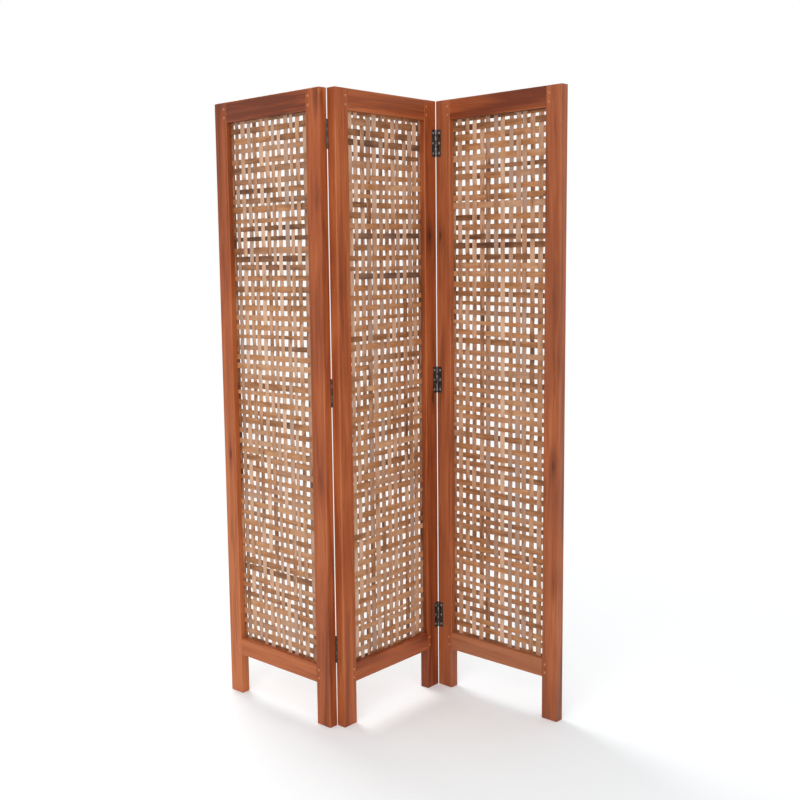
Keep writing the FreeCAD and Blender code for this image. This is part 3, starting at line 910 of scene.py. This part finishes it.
class FOLDINGSCREEN_OT_pegs(bpy.types.Operator):
    """Make the square pegs that lock the tenons"""

    bl_idname = "folding_screen.pegs"
    bl_label = "Pegs"

    def execute(self, context):
        chance = random.Random(31)
        for leaf in LEAVES:
            node = f"{leaf}_leaf_pegs"
            shape = Shape()
            grain, edges = [], []
            for side in SIDES:
                for place in peg_places(leaf, side):
                    rings = self.one_peg(Vector(place), chance)
                    start = any_place(chance, PEG_GRAIN_REACH)
                    shape.loft(rings)
                    for x, y, z in (point for ring in rings for point in ring):
                        grain.append(start + Vector((x, z, y)))
                        edges.append(1.0 if y > -sizes().peg_proud / 2 else 0.0)
            mesh = shape.mesh(node, weld=False)
            mark(mesh, grain_place=grain, edge=edges)
            set_in_leaf(mesh, leaf, node, peg_wood())
        return {"FINISHED"}

    def one_peg(self, centre, chance):
        """A peg that tapers towards its back, with a hand-trimmed end."""
        size = sizes()
        proud, trim = size.peg_proud, size.peg_trim
        depths = (-proud, -proud / 2, trim, size.tenon_setback + size.tenon_thickness)
        lean = chance.uniform(-PEG_LEAN, PEG_LEAN)
        rings = []
        for depth, share in zip(depths, PEG_TAPER_SHARES):
            reach = size.peg_side / 2 * share
            corner = Vector((reach, reach))
            section = member_section(centre - corner, centre + corner, (trim,) * 4, guard=trim)
            rings.append([(point.x + lean, depth, point.y) for point in section])
        return rings


# Lattice

# The twill passes over two strips and under two. On the outer leaves its diagonals fall to
# the right, and on the middle leaf they rise to the right.
TWILL_REPEAT = 4
TWILL_FLOAT = 2
TWILL_LEAN = {"left": 1, "middle": -1, "right": 1}
TWILL_PHASE = {"left": 0, "middle": 3, "right": 0}

# Shares of the strips' mean width. Most are full, and a few are split narrow. The upright strips
# differ half as much as the level ones.
WIDTH_SHARES = (1.0, 1.05, 0.95, 1.1, 1.0, 1.12, 0.9, 1.04, 0.72)
WIDTH_SPREAD_SHARE = 0.07
WEFT_VARIETY_SHARE = 1.0
WARP_VARIETY_SHARE = 0.5

# Along its length a strip swells and narrows by a share of its width. How often it does so lies
# between these two.
WAIST_SHARE = 0.05
WAIST_TURNS = (1.5, 4)

# How much of its neighbour's slant and bow a strip takes over.
SLANT_KEPT_SHARE = 0.75
BOW_KEPT_SHARE = 0.6

# Two neighbours are compared at this many steps along them.
LAP_STEPS = 8
CANE_GRAIN_REACH = 30

# Where up each leaf darker level strips were used, as shares of the opening's height.
DARK_BAND_SHARES = {
    "left": ((0.78, 0.91), (0.73, 0.75), (0.67, 0.69)),
    "middle": ((0.93, 0.96), (0.78, 0.8), (0.7, 0.72), (0.59, 0.61)),
    "right": ((0.9, 0.92), (0.81, 0.83), (0.74, 0.78), (0.64, 0.66)),
}
BAND_SHADE = 0.3

# How much fuller than the mean the upright strips of each leaf are.
WARP_FULLNESS_SHARES = {"left": 1.0, "middle": 1.13, "right": 1.02}

# How much darker painted shade makes a strip on the side and at the places where it lies under others.
PAINTED_SUNK_SHADE = 0.13

# The tone of a strip goes from 0, the darkest cane, to 1, the palest. Level strips of one batch
# have like tones. At each strip there is a chance that a new batch starts.
# Border strips are darker: grime, and painted shade from the frame beside them.
BORDER_GRIME_AND_SHADE_TONE = 0.3
BATCH_TONE = 0.58
BATCH_SPREAD = 0.1
BATCH_CHANCE = 0.3
WEFT_SPREAD = 0.09
WARP_TONE = 0.53
WARP_SPREAD = 0.1
DARKEST_WEFT = 0.02
DARKEST_WARP = 0.1
PALEST_STRIP = 0.98

MAT_SHARP_ANGLE = math.radians(40)


def in_front(leaf, weft, column):
    """Whether the upright strip passes in front of the level one."""
    step = weft + TWILL_LEAN[leaf] * column + TWILL_PHASE[leaf]
    return step % TWILL_REPEAT < TWILL_FLOAT


def share_between(value, low, high):
    """How far a value is from one place to another, as a share of the way."""
    return (value - low) / (high - low)


class Strip:
    """A cane strip: where its middle line runs, how wide it is, and what colour it has."""

    def __init__(self, place, width, slant, bow, chance):
        self.place = place
        self.width = width
        self.slant = slant
        self.bow = bow
        self.wave = chance.uniform(0, math.tau)
        self.turns = chance.uniform(*WAIST_TURNS)
        self.tone = BORDER_GRIME_AND_SHADE_TONE
        self.tint = chance.random()
        self.start = any_place(chance, CANE_GRAIN_REACH)

    def middle(self, share):
        """How far across the middle line is, at a share of the strip's length."""
        return self.place + self.slant * (share - 0.5) + self.bow * (4 * share * (1 - share) - 0.5)

    def breadth(self, share):
        return self.width * (1 + WAIST_SHARE * math.sin(self.wave + math.tau * self.turns * share))

    def side(self, share, way):
        return self.middle(share) + way * self.breadth(share) / 2


def spread_strips(low, high, number, width, variety, drift, slant, bow, chance):
    """Strips side by side between two edges, with a border strip along each edge.

    Each lies a little off its even place, and it leans much as the one before it does.
    """
    size = sizes()
    pitch = (high - low) / (number + 1)
    border = size.border_width
    inset = size.border_gap + border / 2
    strips = [Strip(low + inset, border, 0.0, 0.0, chance)]
    lean = curve = 0.0
    for index in range(number):
        share = 1 + variety * (chance.choice(WIDTH_SHARES) - 1)
        wide = width * share * chance.uniform(1 - WIDTH_SPREAD_SHARE, 1 + WIDTH_SPREAD_SHARE)
        lean = SLANT_KEPT_SHARE * lean + chance.gauss(0, slant)
        curve = BOW_KEPT_SHARE * curve + chance.gauss(0, bow)
        place = low + (index + 1) * pitch + chance.uniform(-drift, drift)
        strips.append(Strip(place, wide, lean, curve, chance))
    strips.append(Strip(high - inset, border, 0.0, 0.0, chance))
    part_strips(strips)
    return strips


def part_strips(strips):
    """Move strips that would lie on one another apart, from both edges inwards."""
    shares = [step / LAP_STEPS for step in range(LAP_STEPS + 1)]
    spare = sizes().strip_clearance
    middle = len(strips) // 2
    for index in range(1, middle):
        last, here = strips[index - 1], strips[index]
        lap = max(last.side(share, 1) - here.side(share, -1) for share in shares)
        here.place += max(lap + spare, 0.0)
    for index in range(len(strips) - 2, middle - 1, -1):
        following, here = strips[index + 1], strips[index]
        lap = max(here.side(share, 1) - following.side(share, -1) for share in shares)
        here.place -= max(lap + spare, 0.0)


def held_tone(tone, darkest):
    """A tone that is neither too dark nor too pale for cane."""
    return min(max(tone, darkest), PALEST_STRIP)


@functools.cache
def leaf_strips(leaf):
    """The level and the upright strips of one leaf, with their tones."""
    size = sizes()
    layout = leaf_layout(leaf)
    chance = random.Random(f"{leaf} mat")
    wefts = spread_strips(
        layout.low, layout.high, size.weft_count, size.weft_width, WEFT_VARIETY_SHARE,
        size.weft_drift, size.weft_slant, size.weft_bow, chance,
    )
    warps = spread_strips(
        layout.left, layout.right, size.warp_count, size.warp_width * WARP_FULLNESS_SHARES[leaf],
        WARP_VARIETY_SHARE, size.warp_drift, size.warp_slant, size.warp_bow, chance,
    )
    batch = chance.gauss(BATCH_TONE, BATCH_SPREAD)
    for weft in wefts:
        if chance.random() < BATCH_CHANCE:
            batch = chance.gauss(BATCH_TONE, BATCH_SPREAD)
        share = share_between(weft.place, layout.low, layout.high)
        darker = any(low < share < high for low, high in DARK_BAND_SHARES[leaf])
        tone = batch + chance.gauss(0, WEFT_SPREAD) - (BAND_SHADE if darker else 0.0)
        weft.tone = held_tone(tone, DARKEST_WEFT)
    for warp in warps:
        warp.tone = held_tone(chance.gauss(WARP_TONE, WARP_SPREAD), DARKEST_WARP)
    # The border strips take their darker tone: grime, and painted shade from the frame.
    for border in (wefts[0], wefts[-1], warps[0], warps[-1]):
        border.tone = BORDER_GRIME_AND_SHADE_TONE
    return wefts, warps


def eased(share):
    """A share that starts and ends gently."""
    return share * share * (3 - 2 * share)


def strip_line(first, last, crossings, swing):
    """Where a strip's middle line lies off the mat: (place along it, depth) pairs.

    A crossing is (where the other strip's middle is, its half width, the side to pass on).
    """
    line = [(first, 0.0)]
    depth = 0.0
    for middle, half, side in crossings:
        reached = side * swing
        start = middle - half
        if reached != depth:
            before = line[-1][0]
            for share in (1 / 3, 2 / 3):
                line.append((before + (start - before) * share, depth + (reached - depth) * eased(share)))
        line += [(start, reached), (middle + half, reached)]
        depth = reached
    line += [((line[-1][0] + last) / 2, depth / 2), (last, 0.0)]
    return line


def strip_ring(width, thickness, edge):
    """The section of a strip: flat, with its edges eased."""
    wide, deep = width / 2, thickness / 2
    return (
        (-wide + edge, -deep), (wide - edge, -deep), (wide, -deep + edge), (wide, deep - edge),
        (wide - edge, deep), (-wide + edge, deep), (-wide, deep - edge), (-wide, -deep + edge),
    )


class Mat(Shape):
    """The strips of a leaf that run one way, with what the finish reads at each point."""

    def __init__(self):
        super().__init__()
        self.marks = {"grain_place": [], "edge": [], "tone": [], "tint": []}

    def add_strip(self, strip, line, mid_plane, upright):
        """Skin one strip along its line and note its grain. It has painted shade where others cover it.
        """
        size = sizes()
        first, last = line[0][0], line[-1][0]
        swing = max(abs(depth) for along, depth in line)
        rings = []
        for along, depth in line:
            share = share_between(along, first, last)
            middle, breadth = strip.middle(share), strip.breadth(share)
            ring = []
            for across, deep in strip_ring(breadth, size.strip_thickness, size.strip_edge):
                aside, y = middle + across, mid_plane + depth + deep
                ring.append((aside, y, along) if upright else (along, y, aside))
                # Painted shade on each face, deepest where the strip lies furthest under the others.
                painted_shade_depth = depth if deep < 0 else -depth
                for name, value in (
                    ("grain_place", strip.start + Vector((along, across, deep))),
                    ("edge", 1.0 if abs(across) > breadth / 2 - size.strip_edge / 2 else 0.0),
                    ("tone", strip.tone - PAINTED_SUNK_SHADE * max(painted_shade_depth / swing, 0.0)),
                    ("tint", strip.tint),
                ):
                    self.marks[name].append(value)
            rings.append(ring)
        self.loft(rings)


def weave(leaf, upright, finish):
    """Skin the upright or the level strips of a leaf, each bent round those that it crosses."""
    size = sizes()
    layout = leaf_layout(leaf)
    wefts, warps = leaf_strips(leaf)
    weft_low, weft_high = local_box(leaf, f"{leaf}_leaf_wefts")
    mid_plane = (weft_low.y + weft_high.y) / 2
    if upright:
        node, strips, others, swing = f"{leaf}_leaf_warps", warps, wefts, size.warp_swing
        edges = layout.left, layout.right
    else:
        node, strips, others, swing = f"{leaf}_leaf_wefts", wefts, warps, size.weft_swing
        edges = layout.low, layout.high
    low, high = local_box(leaf, node)
    first, last = (low.z, high.z) if upright else (low.x, high.x)
    mat = Mat()
    for index, strip in enumerate(strips):
        share = share_between(strip.place, *edges)
        crossings = []
        for number, other in enumerate(others):
            row, column = (number, index) if upright else (index, number)
            side = -1 if in_front(leaf, row, column) == upright else 1
            half = other.breadth(share) / 2 + size.crossing_clearance
            crossings.append((other.middle(share), half, side))
        mat.add_strip(strip, strip_line(first, last, crossings, swing), mid_plane, upright)
    mesh = mat.mesh(node, weld=False)
    mark(mesh, **mat.marks)
    set_in_leaf(mesh, leaf, node, finish, MAT_SHARP_ANGLE)


class FOLDINGSCREEN_OT_level_strips(bpy.types.Operator):
    """Weave the level cane strips of the three mats"""

    bl_idname = "folding_screen.level_strips"
    bl_label = "Level Strips"

    def execute(self, context):
        for leaf in LEAVES:
            weave(leaf, False, level_cane())
        return {"FINISHED"}


class FOLDINGSCREEN_OT_upright_strips(bpy.types.Operator):
    """Weave the upright cane strips of the three mats"""

    bl_idname = "folding_screen.upright_strips"
    bl_label = "Upright Strips"

    def execute(self, context):
        for leaf in LEAVES:
            weave(leaf, True, upright_cane())
        return {"FINISHED"}


# Hinges

KNUCKLE_STEPS = 28
PIN_STEPS = 28
SCREW_STEPS = 24
METAL_GRAIN_REACH = 5

# How far a knuckle's roll reaches into its plate, and the gap where it comes back to it.
KNUCKLE_LAP = 0.4 * MM
KNUCKLE_SEAM = math.radians(7)

# The rounding of a plate's corners beside its barrel, and from its corners to the extra points.
PLATE_INNER_ROUND = 0.15 * MM
PLATE_GUARD = 0.6 * MM

# The domed end of a pin, as shares of its radius and of the dome's height.
DOME_SHARES = ((0.35, 0.0), (0.8, 0.35), (1.0, 1.0))

# The screws lie past the middle of the plate's face. Their holes widen just off the plate's back.
SCREW_ASIDE = 0.4 * MM
SINK_START = 0.1 * MM
SINK_OVERRUN = 0.6 * MM
HOLE_OVERRUN = 0.4 * MM

# A screw's radius at its point, its shank and its neck, and how deep its point and shank lie.
SCREW_POINT = (0.9 * MM, -11 * MM)
SCREW_SHANK = (1.5 * MM, -8 * MM)
SCREW_NECK = 1.6 * MM

# The crown of a screw's head: shares of its radius, each with its height off the plate.
SCREW_CROWN = ((1.0, -0.1 * MM), (0.94, 0.05 * MM), (0.55, 0.2 * MM))
SLOT_DEPTH = 0.4 * MM
SLOT_REACH_SHARE = 1.1

# How far the finish is worn off: on a barrel's crown, which starts at a share of its radius, on
# the rest of the barrel, on a plate's rim, which is so deep, and on a pin. On the barrel this
# lightening also paints its highlight.
CROWN_SHARE = 0.5
CROWN_WEAR_AND_GLINT = 1.0
BARREL_WEAR_AND_GLINT = 0.8
RIM_WEAR = 0.3
RIM_DEPTH = 0.05 * MM
PIN_WEAR = 0.6


class HingeSeat:
    """Where one hinge plate sits in its leaf: u away from the pin, v off the face, w up."""

    def __init__(self, joint, place, leaf):
        self.leaf = leaf
        self.node = f"{place}_{joint}_hinge_{leaf}_plate"
        low, high = local_box(leaf, self.node)
        axis = leaf_matrix(leaf).inverted() @ PIN_PLACES[f"{OUTER_LEAF[joint]}_leaf_fold"]
        depth = leaf_layout(leaf).depth
        self.axis = axis
        self.aside = 1 if (low.x + high.x) / 2 > axis.x else -1
        self.outward = 1 if axis.y > depth / 2 else -1
        self.face = depth if self.outward > 0 else 0.0
        self.low, self.high = low.z, high.z
        self.plate_end = max(abs(low.x - axis.x), abs(high.x - axis.x))
        self.pin_depth = abs(axis.y - self.face)

    def place(self, u, v, w):
        return Vector((self.axis.x + self.aside * u, self.face + self.outward * v, w))

    def screw_places(self):
        """The middles of the plate's screws, as places away from the pin and up."""
        size = sizes()
        across = (size.knuckle_radius + self.plate_end) / 2 + SCREW_ASIDE
        middle = (self.low + self.high) / 2
        return [(across, middle + step * size.screw_spread) for step in (-1, 0, 1)]

    def at_screws(self, profile):
        """Round shapes at the screws, turned from (radius, depth) pairs."""
        shape = Shape()
        for across, height in self.screw_places():
            rings = turned_rings(profile, SCREW_STEPS)
            shape.loft([[self.place(across + u, v, height + w) for u, v, w in ring] for ring in rings])
        return shape


def knuckle_section(seat, radius):
    """The plate's edge rolled right round the pin, open by a seam where it comes back."""
    size = sizes()
    thick = size.plate_thickness
    inner = size.pin_radius + size.pin_clearance
    reach = size.knuckle_radius + size.knuckle_clearance + KNUCKLE_LAP
    lift = seat.pin_depth
    start = -math.asin((thick + lift) / radius)
    seam = -math.asin(lift / radius) + KNUCKLE_SEAM - math.tau
    back = -math.asin(lift / inner)
    ring = [(reach, -thick)]
    for bend, first, last in ((radius, start, seam), (inner, seam, back)):
        for step in range(KNUCKLE_STEPS + 1):
            angle = first + (last - first) * step / KNUCKLE_STEPS
            ring.append((bend * math.cos(angle), lift + bend * math.sin(angle)))
    return ring + [(reach, 0.0)]


def plate_outline(seat, inset):
    """A hinge plate seen from the front, its outer corners rounded."""
    size = sizes()
    low = (size.knuckle_radius + size.knuckle_clearance, seat.low + inset)
    high = (seat.plate_end - inset, seat.high - inset)
    radii = (PLATE_INNER_ROUND, size.plate_round, size.plate_round, PLATE_INNER_ROUND)
    return member_section(low, high, radii, guard=PLATE_GUARD)


def turned_rings(profile, steps):
    """Rings round an axis, from pairs of a radius and a place along it."""
    angles = [math.tau * step / steps for step in range(steps)]
    rings = []
    for radius, along in profile:
        rings.append([(radius * math.cos(angle), along, radius * math.sin(angle)) for angle in angles])
    return rings


def mark_metal(mesh, rub_and_glint, chance):
    """Mark the metal's grain, and at each point how much its finish is worn off, which on the barrels
    also paints a highlight.
    """
    start = any_place(chance, METAL_GRAIN_REACH)
    places = [vertex.co for vertex in mesh.vertices]
    mark(mesh, grain_place=[start + place for place in places], edge=[rub_and_glint(place) for place in places])


def rolled_knuckles(seat, keeps):
    """The plate's knuckles: every other one of the barrel's, from the first or the second."""
    size = sizes()
    step = (seat.high - seat.low) / size.knuckle_count
    soft, full = size.knuckle_ease, size.knuckle_radius
    barrel = Shape()
    for knuckle in range(keeps, size.knuckle_count, 2):
        low = seat.low + knuckle * step
        high = low + step
        if knuckle > 0:
            low += size.knuckle_gap
        if knuckle < size.knuckle_count - 1:
            high -= size.knuckle_gap
        rings = []
        for height, radius in (
            (low, full - soft),
            (low + soft, full),
            (high - soft, full),
            (high, full - soft),
        ):
            rings.append([seat.place(u, v, height) for u, v in knuckle_section(seat, radius)])
        barrel.loft(rings)
    return barrel


def make_plate(joint, place, leaf, keeps, chance):
    """A hinge plate with its rolled knuckles and countersunk holes."""
    size = sizes()
    seat = HingeSeat(joint, place, leaf)
    thick, bevel = size.plate_thickness, size.plate_bevel
    plate = Shape()
    rings = []
    for depth, inset in ((-thick, 0.0), (-bevel, 0.0), (0.0, bevel)):
        rings.append([seat.place(point.x, depth, point.y) for point in plate_outline(seat, inset)])
    plate.loft(rings)
    sink = size.screw_head + size.screw_clearance
    sinks = (
        (size.screw_hole, -thick - HOLE_OVERRUN),
        (size.screw_hole, -thick + SINK_START),
        (sink, 0.0),
        (sink, SINK_OVERRUN),
    )
    mesh = carve(plate.mesh(seat.node), seat.at_screws(sinks))
    mesh = carve(mesh, rolled_knuckles(seat, keeps), "UNION")

    def rub_and_glint(point):
        """Worn on the crown of the barrel, at the ends of its knuckles and on the plate's rim. On the
        barrel this also paints its highlight.
        """
        proud = seat.outward * (point.y - seat.face)
        if proud > size.knuckle_radius * CROWN_SHARE:
            return CROWN_WEAR_AND_GLINT
        if (point - seat.axis).xy.length < size.knuckle_radius:
            return BARREL_WEAR_AND_GLINT
        return RIM_WEAR if proud > -RIM_DEPTH else 0.0

    mark_metal(mesh, rub_and_glint, chance)
    set_in_leaf(mesh, leaf, seat.node, dark_metal())


def make_pin(joint, place, chance):
    """A hinge pin with domed ends."""
    node = f"{place}_{joint}_hinge_pin"
    low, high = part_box(node)
    middle = (low + high) / 2
    radius, dome = sizes().pin_radius, sizes().pin_dome
    profile = [(radius * wide, low.z + dome * tall) for wide, tall in DOME_SHARES]
    profile += [(radius * wide, high.z - dome * tall) for wide, tall in reversed(DOME_SHARES)]
    shape = Shape()
    rings = turned_rings(profile, PIN_STEPS)
    shape.loft([[(middle.x + x, middle.y + z, height) for x, height, z in ring] for ring in rings])
    mesh = shape.mesh(node)
    mark_metal(mesh, lambda point: PIN_WEAR, chance)
    set_piece(mesh, f"{node}_piece", "middle_leaf", dark_metal(), (node,))


class FOLDINGSCREEN_OT_hinges(bpy.types.Operator):
    """Make the butt hinges: plates with rolled knuckles, and their pins"""

    bl_idname = "folding_screen.hinges"
    bl_label = "Hinges"

    def execute(self, context):
        chance = random.Random(47)
        for joint, outer in OUTER_LEAF.items():
            for place in HINGE_PLACES:
                make_plate(joint, place, "middle", 0, chance)
                make_plate(joint, place, outer, 1, chance)
                make_pin(joint, place, chance)
        return {"FINISHED"}


class FOLDINGSCREEN_OT_screws(bpy.types.Operator):
    """Set three countersunk screws in every hinge plate"""

    bl_idname = "folding_screen.screws"
    bl_label = "Hinge Screws"

    def execute(self, context):
        chance = random.Random(59)
        for joint, outer in OUTER_LEAF.items():
            for place in HINGE_PLACES:
                for leaf in ("middle", outer):
                    self.set_screws(HingeSeat(joint, place, leaf), chance)
        return {"FINISHED"}

    def set_screws(self, seat, chance):
        """Slotted screws, each turned as far as it happened to go."""
        profile = [SCREW_POINT, SCREW_SHANK, (SCREW_NECK, -sizes().plate_thickness)]
        profile += [(sizes().screw_head * wide, height) for wide, height in SCREW_CROWN]
        name = seat.node.replace("_plate", "_screws")
        mesh = carve(seat.at_screws(profile).mesh(name), self.slots(seat, chance))
        mark_metal(mesh, lambda point: 0.0, chance)
        mesh.transform(leaf_matrix(seat.leaf))
        set_piece(mesh, name, f"{seat.leaf}_leaf", screw_metal())

    def slots(self, seat, chance):
        """The tool that cuts the slots in the heads of a plate's screws."""
        half, reach = sizes().slot_width / 2, sizes().screw_head * SLOT_REACH_SHARE
        corners = ((-reach, -half), (reach, -half), (reach, half), (-reach, half))
        tool = Shape()
        for across, height in seat.screw_places():
            turn = Matrix.Rotation(chance.uniform(0, math.pi), 2)
            turned = [turn @ Vector(corner) for corner in corners]
            rings = []
            for depth in (-SLOT_DEPTH, OVERRUN):
                rings.append([seat.place(across + p.x, depth, height + p.y) for p in turned])
            tool.loft(rings)
        return tool


# Stage

CAMERA_PLACE = Vector((-0.19784, -3.02559, 1.26898))
CAMERA_HEADING = math.radians(-1.284)
CAMERA_PITCH = math.radians(-7.327)
CAMERA_ROLL = math.radians(-0.957)
CAMERA_LENS = 49.686
CAMERA_SENSOR = 36
CAMERA_SHIFT = 0.075

WHITE = (1.0, 1.0, 1.0)
WORLD_LIGHT = 0.62
LIGHT_AIM = Vector((0.0, 0.0, 0.8))

# Each soft light has its place, the side of its square, its power in watts and its colour.
SOFTBOXES = {
    "Back Softbox": ((-1.3, 2.4, 3.6), 1.6, 72, (1.0, 0.99, 0.98)),
    "Left Softbox": ((-1.4, -3.7, 2.2), 2.4, 58, (1.0, 0.99, 0.98)),
    "Right Softbox": ((1.8, -3.4, 1.9), 2.4, 23, (0.99, 0.99, 1.0)),
}

# The floor reaches far past its fade to white, which starts and ends so far from its middle.
FLOOR_REACH = 12.0
FLOOR_THICKNESS = 0.02
FADE_START = 0.75
FADE_END = 1.7
FLOOR_LIFT = 0.105


def set_camera():
    """The camera stands where the picture was taken from."""
    heading, pitch, roll = CAMERA_HEADING, CAMERA_PITCH, CAMERA_ROLL
    forward = Vector(
        (-math.sin(heading) * math.cos(pitch), math.cos(heading) * math.cos(pitch), math.sin(pitch))
    )
    right = Vector((math.cos(heading), math.sin(heading), 0.0))
    up = right.cross(forward)
    across = right * math.cos(roll) + up * math.sin(roll)
    upward = up * math.cos(roll) - right * math.sin(roll)
    lens = bpy.data.cameras.new("Camera")
    lens.sensor_width = CAMERA_SENSOR
    lens.sensor_fit = "HORIZONTAL"
    lens.lens = CAMERA_LENS
    lens.shift_x = CAMERA_SHIFT
    camera = bpy.data.objects.new("Camera", lens)
    turn = Matrix((across, upward, -forward)).transposed().to_4x4()
    camera.matrix_world = Matrix.Translation(CAMERA_PLACE) @ turn
    bpy.context.scene.collection.objects.link(camera)
    bpy.context.scene.camera = camera


def set_softbox(name, place, side, power, tint):
    light = bpy.data.lights.new(name, "AREA")
    light.shape = "RECTANGLE"
    light.size = light.size_y = side
    light.energy = power
    light.color = tint
    lamp = bpy.data.objects.new(name, light)
    lamp.location = place
    lamp.rotation_euler = (LIGHT_AIM - Vector(place)).to_track_quat("-Z", "Y").to_euler()
    bpy.context.scene.collection.objects.link(lamp)


def seen_by_eye(wiring):
    """One where the camera sees it or its reflection, and zero where it only gives light."""
    rays = wiring.add("LightPath", {}).outputs
    kinds = [rays[f"Is {kind} Ray"] for kind in ("Camera", "Glossy", "Transmission")]
    return wiring.combine("MAXIMUM", kinds)


def set_world():
    """Plain light from all round, which looks white."""
    world = bpy.data.worlds.new("Studio")
    world.use_nodes = True
    bpy.context.scene.world = world
    wiring = Wiring(world.node_tree)
    wiring.tree.nodes.clear()
    plain, white = [
        wiring.add("Background", {"Color": WHITE, "Strength": strength}).outputs[0]
        for strength in (WORLD_LIGHT, 1.0)
    ]
    choice = wiring.add("MixShader", {0: seen_by_eye(wiring), 1: plain, 2: white})
    wiring.add("OutputWorld", {"Surface": choice.outputs[0]})


def make_floor():
    """A pale floor that keeps the shadow and fades to plain white far from the screen."""
    shape = Shape()
    shape.box((-FLOOR_REACH, -FLOOR_REACH, -FLOOR_THICKNESS), (FLOOR_REACH, FLOOR_REACH, 0.0))
    mesh = shape.mesh("Floor")
    floor = bpy.data.objects.new("Floor", mesh)
    bpy.context.scene.collection.objects.link(floor)
    finish = Finish("Pale Floor")
    finish.coat(colours().floor, 0.9, specular=0.1)
    place = finish.add("TexCoord", {}).outputs["Object"]
    away = finish.add("VectorMath", {0: place}, operation="LENGTH").outputs["Value"]
    eye = seen_by_eye(finish)
    lift = finish.add("Emission", {"Color": WHITE, "Strength": finish.times(eye, FLOOR_LIFT)})
    lifted = finish.add("AddShader", {0: finish.shader.outputs[0], 1: lift.outputs[0]})
    white = finish.add("Emission", {"Color": WHITE})
    far = finish.times(finish.between(away, FADE_START, FADE_END), eye)
    choice = finish.add("MixShader", {0: far, 1: lifted.outputs[0], 2: white.outputs[0]})
    finish.plug(finish.tree.nodes["Material Output"].inputs["Surface"], choice.outputs[0])
    mesh.materials.append(finish.material)


class FOLDINGSCREEN_OT_stage(bpy.types.Operator):
    """Set up the floor, the soft studio light and the camera"""

    bl_idname = "folding_screen.stage"
    bl_label = "Stage"

    def execute(self, context):
        make_floor()
        set_world()
        for name, values in SOFTBOXES.items():
            set_softbox(name, *values)
        set_camera()
        bpy.context.scene.view_settings.view_transform = "Standard"
        return {"FINISHED"}


STEPS = (
    FOLDINGSCREEN_OT_members,
    FOLDINGSCREEN_OT_beads,
    FOLDINGSCREEN_OT_pegs,
    FOLDINGSCREEN_OT_level_strips,
    FOLDINGSCREEN_OT_upright_strips,
    FOLDINGSCREEN_OT_hinges,
    FOLDINGSCREEN_OT_screws,
    FOLDINGSCREEN_OT_stage,
)


class FOLDINGSCREEN_PT_panel(bpy.types.Panel):
    """Lists the pieces of the screen, its sizes and its colours"""

    bl_idname = "FOLDINGSCREEN_PT_panel"
    bl_label = "Folding Screen"
    bl_space_type = "VIEW_3D"
    bl_region_type = "UI"
    bl_category = "Folding Screen"

    def draw(self, context):
        layout = self.layout
        for step in STEPS:
            layout.operator(step.bl_idname)
        for title, group in (
            ("Sizes", context.scene.folding_screen_sizes),
            ("Colours", context.scene.folding_screen_colours),
        ):
            box = layout.box()
            box.label(text=title)
            for name in group.bl_rna.properties.keys():
                if name not in ("rna_type", "name"):
                    box.prop(group, name)


CLASSES = (ScreenSizes, ScreenColours, *STEPS, FOLDINGSCREEN_PT_panel)


def register():
    for item in CLASSES:
        bpy.utils.register_class(item)
    bpy.types.Scene.folding_screen_sizes = PointerProperty(type=ScreenSizes)
    bpy.types.Scene.folding_screen_colours = PointerProperty(type=ScreenColours)


def unregister():
    del bpy.types.Scene.folding_screen_colours
    del bpy.types.Scene.folding_screen_sizes
    for item in reversed(CLASSES):
        bpy.utils.unregister_class(item)


def main():
    register()
    bpy.ops.folding_screen.members()
    bpy.ops.folding_screen.beads()
    bpy.ops.folding_screen.pegs()
    bpy.ops.folding_screen.level_strips()
    bpy.ops.folding_screen.upright_strips()
    bpy.ops.folding_screen.hinges()
    bpy.ops.folding_screen.screws()
    bpy.ops.folding_screen.stage()


if __name__ == "__main__":
    main()
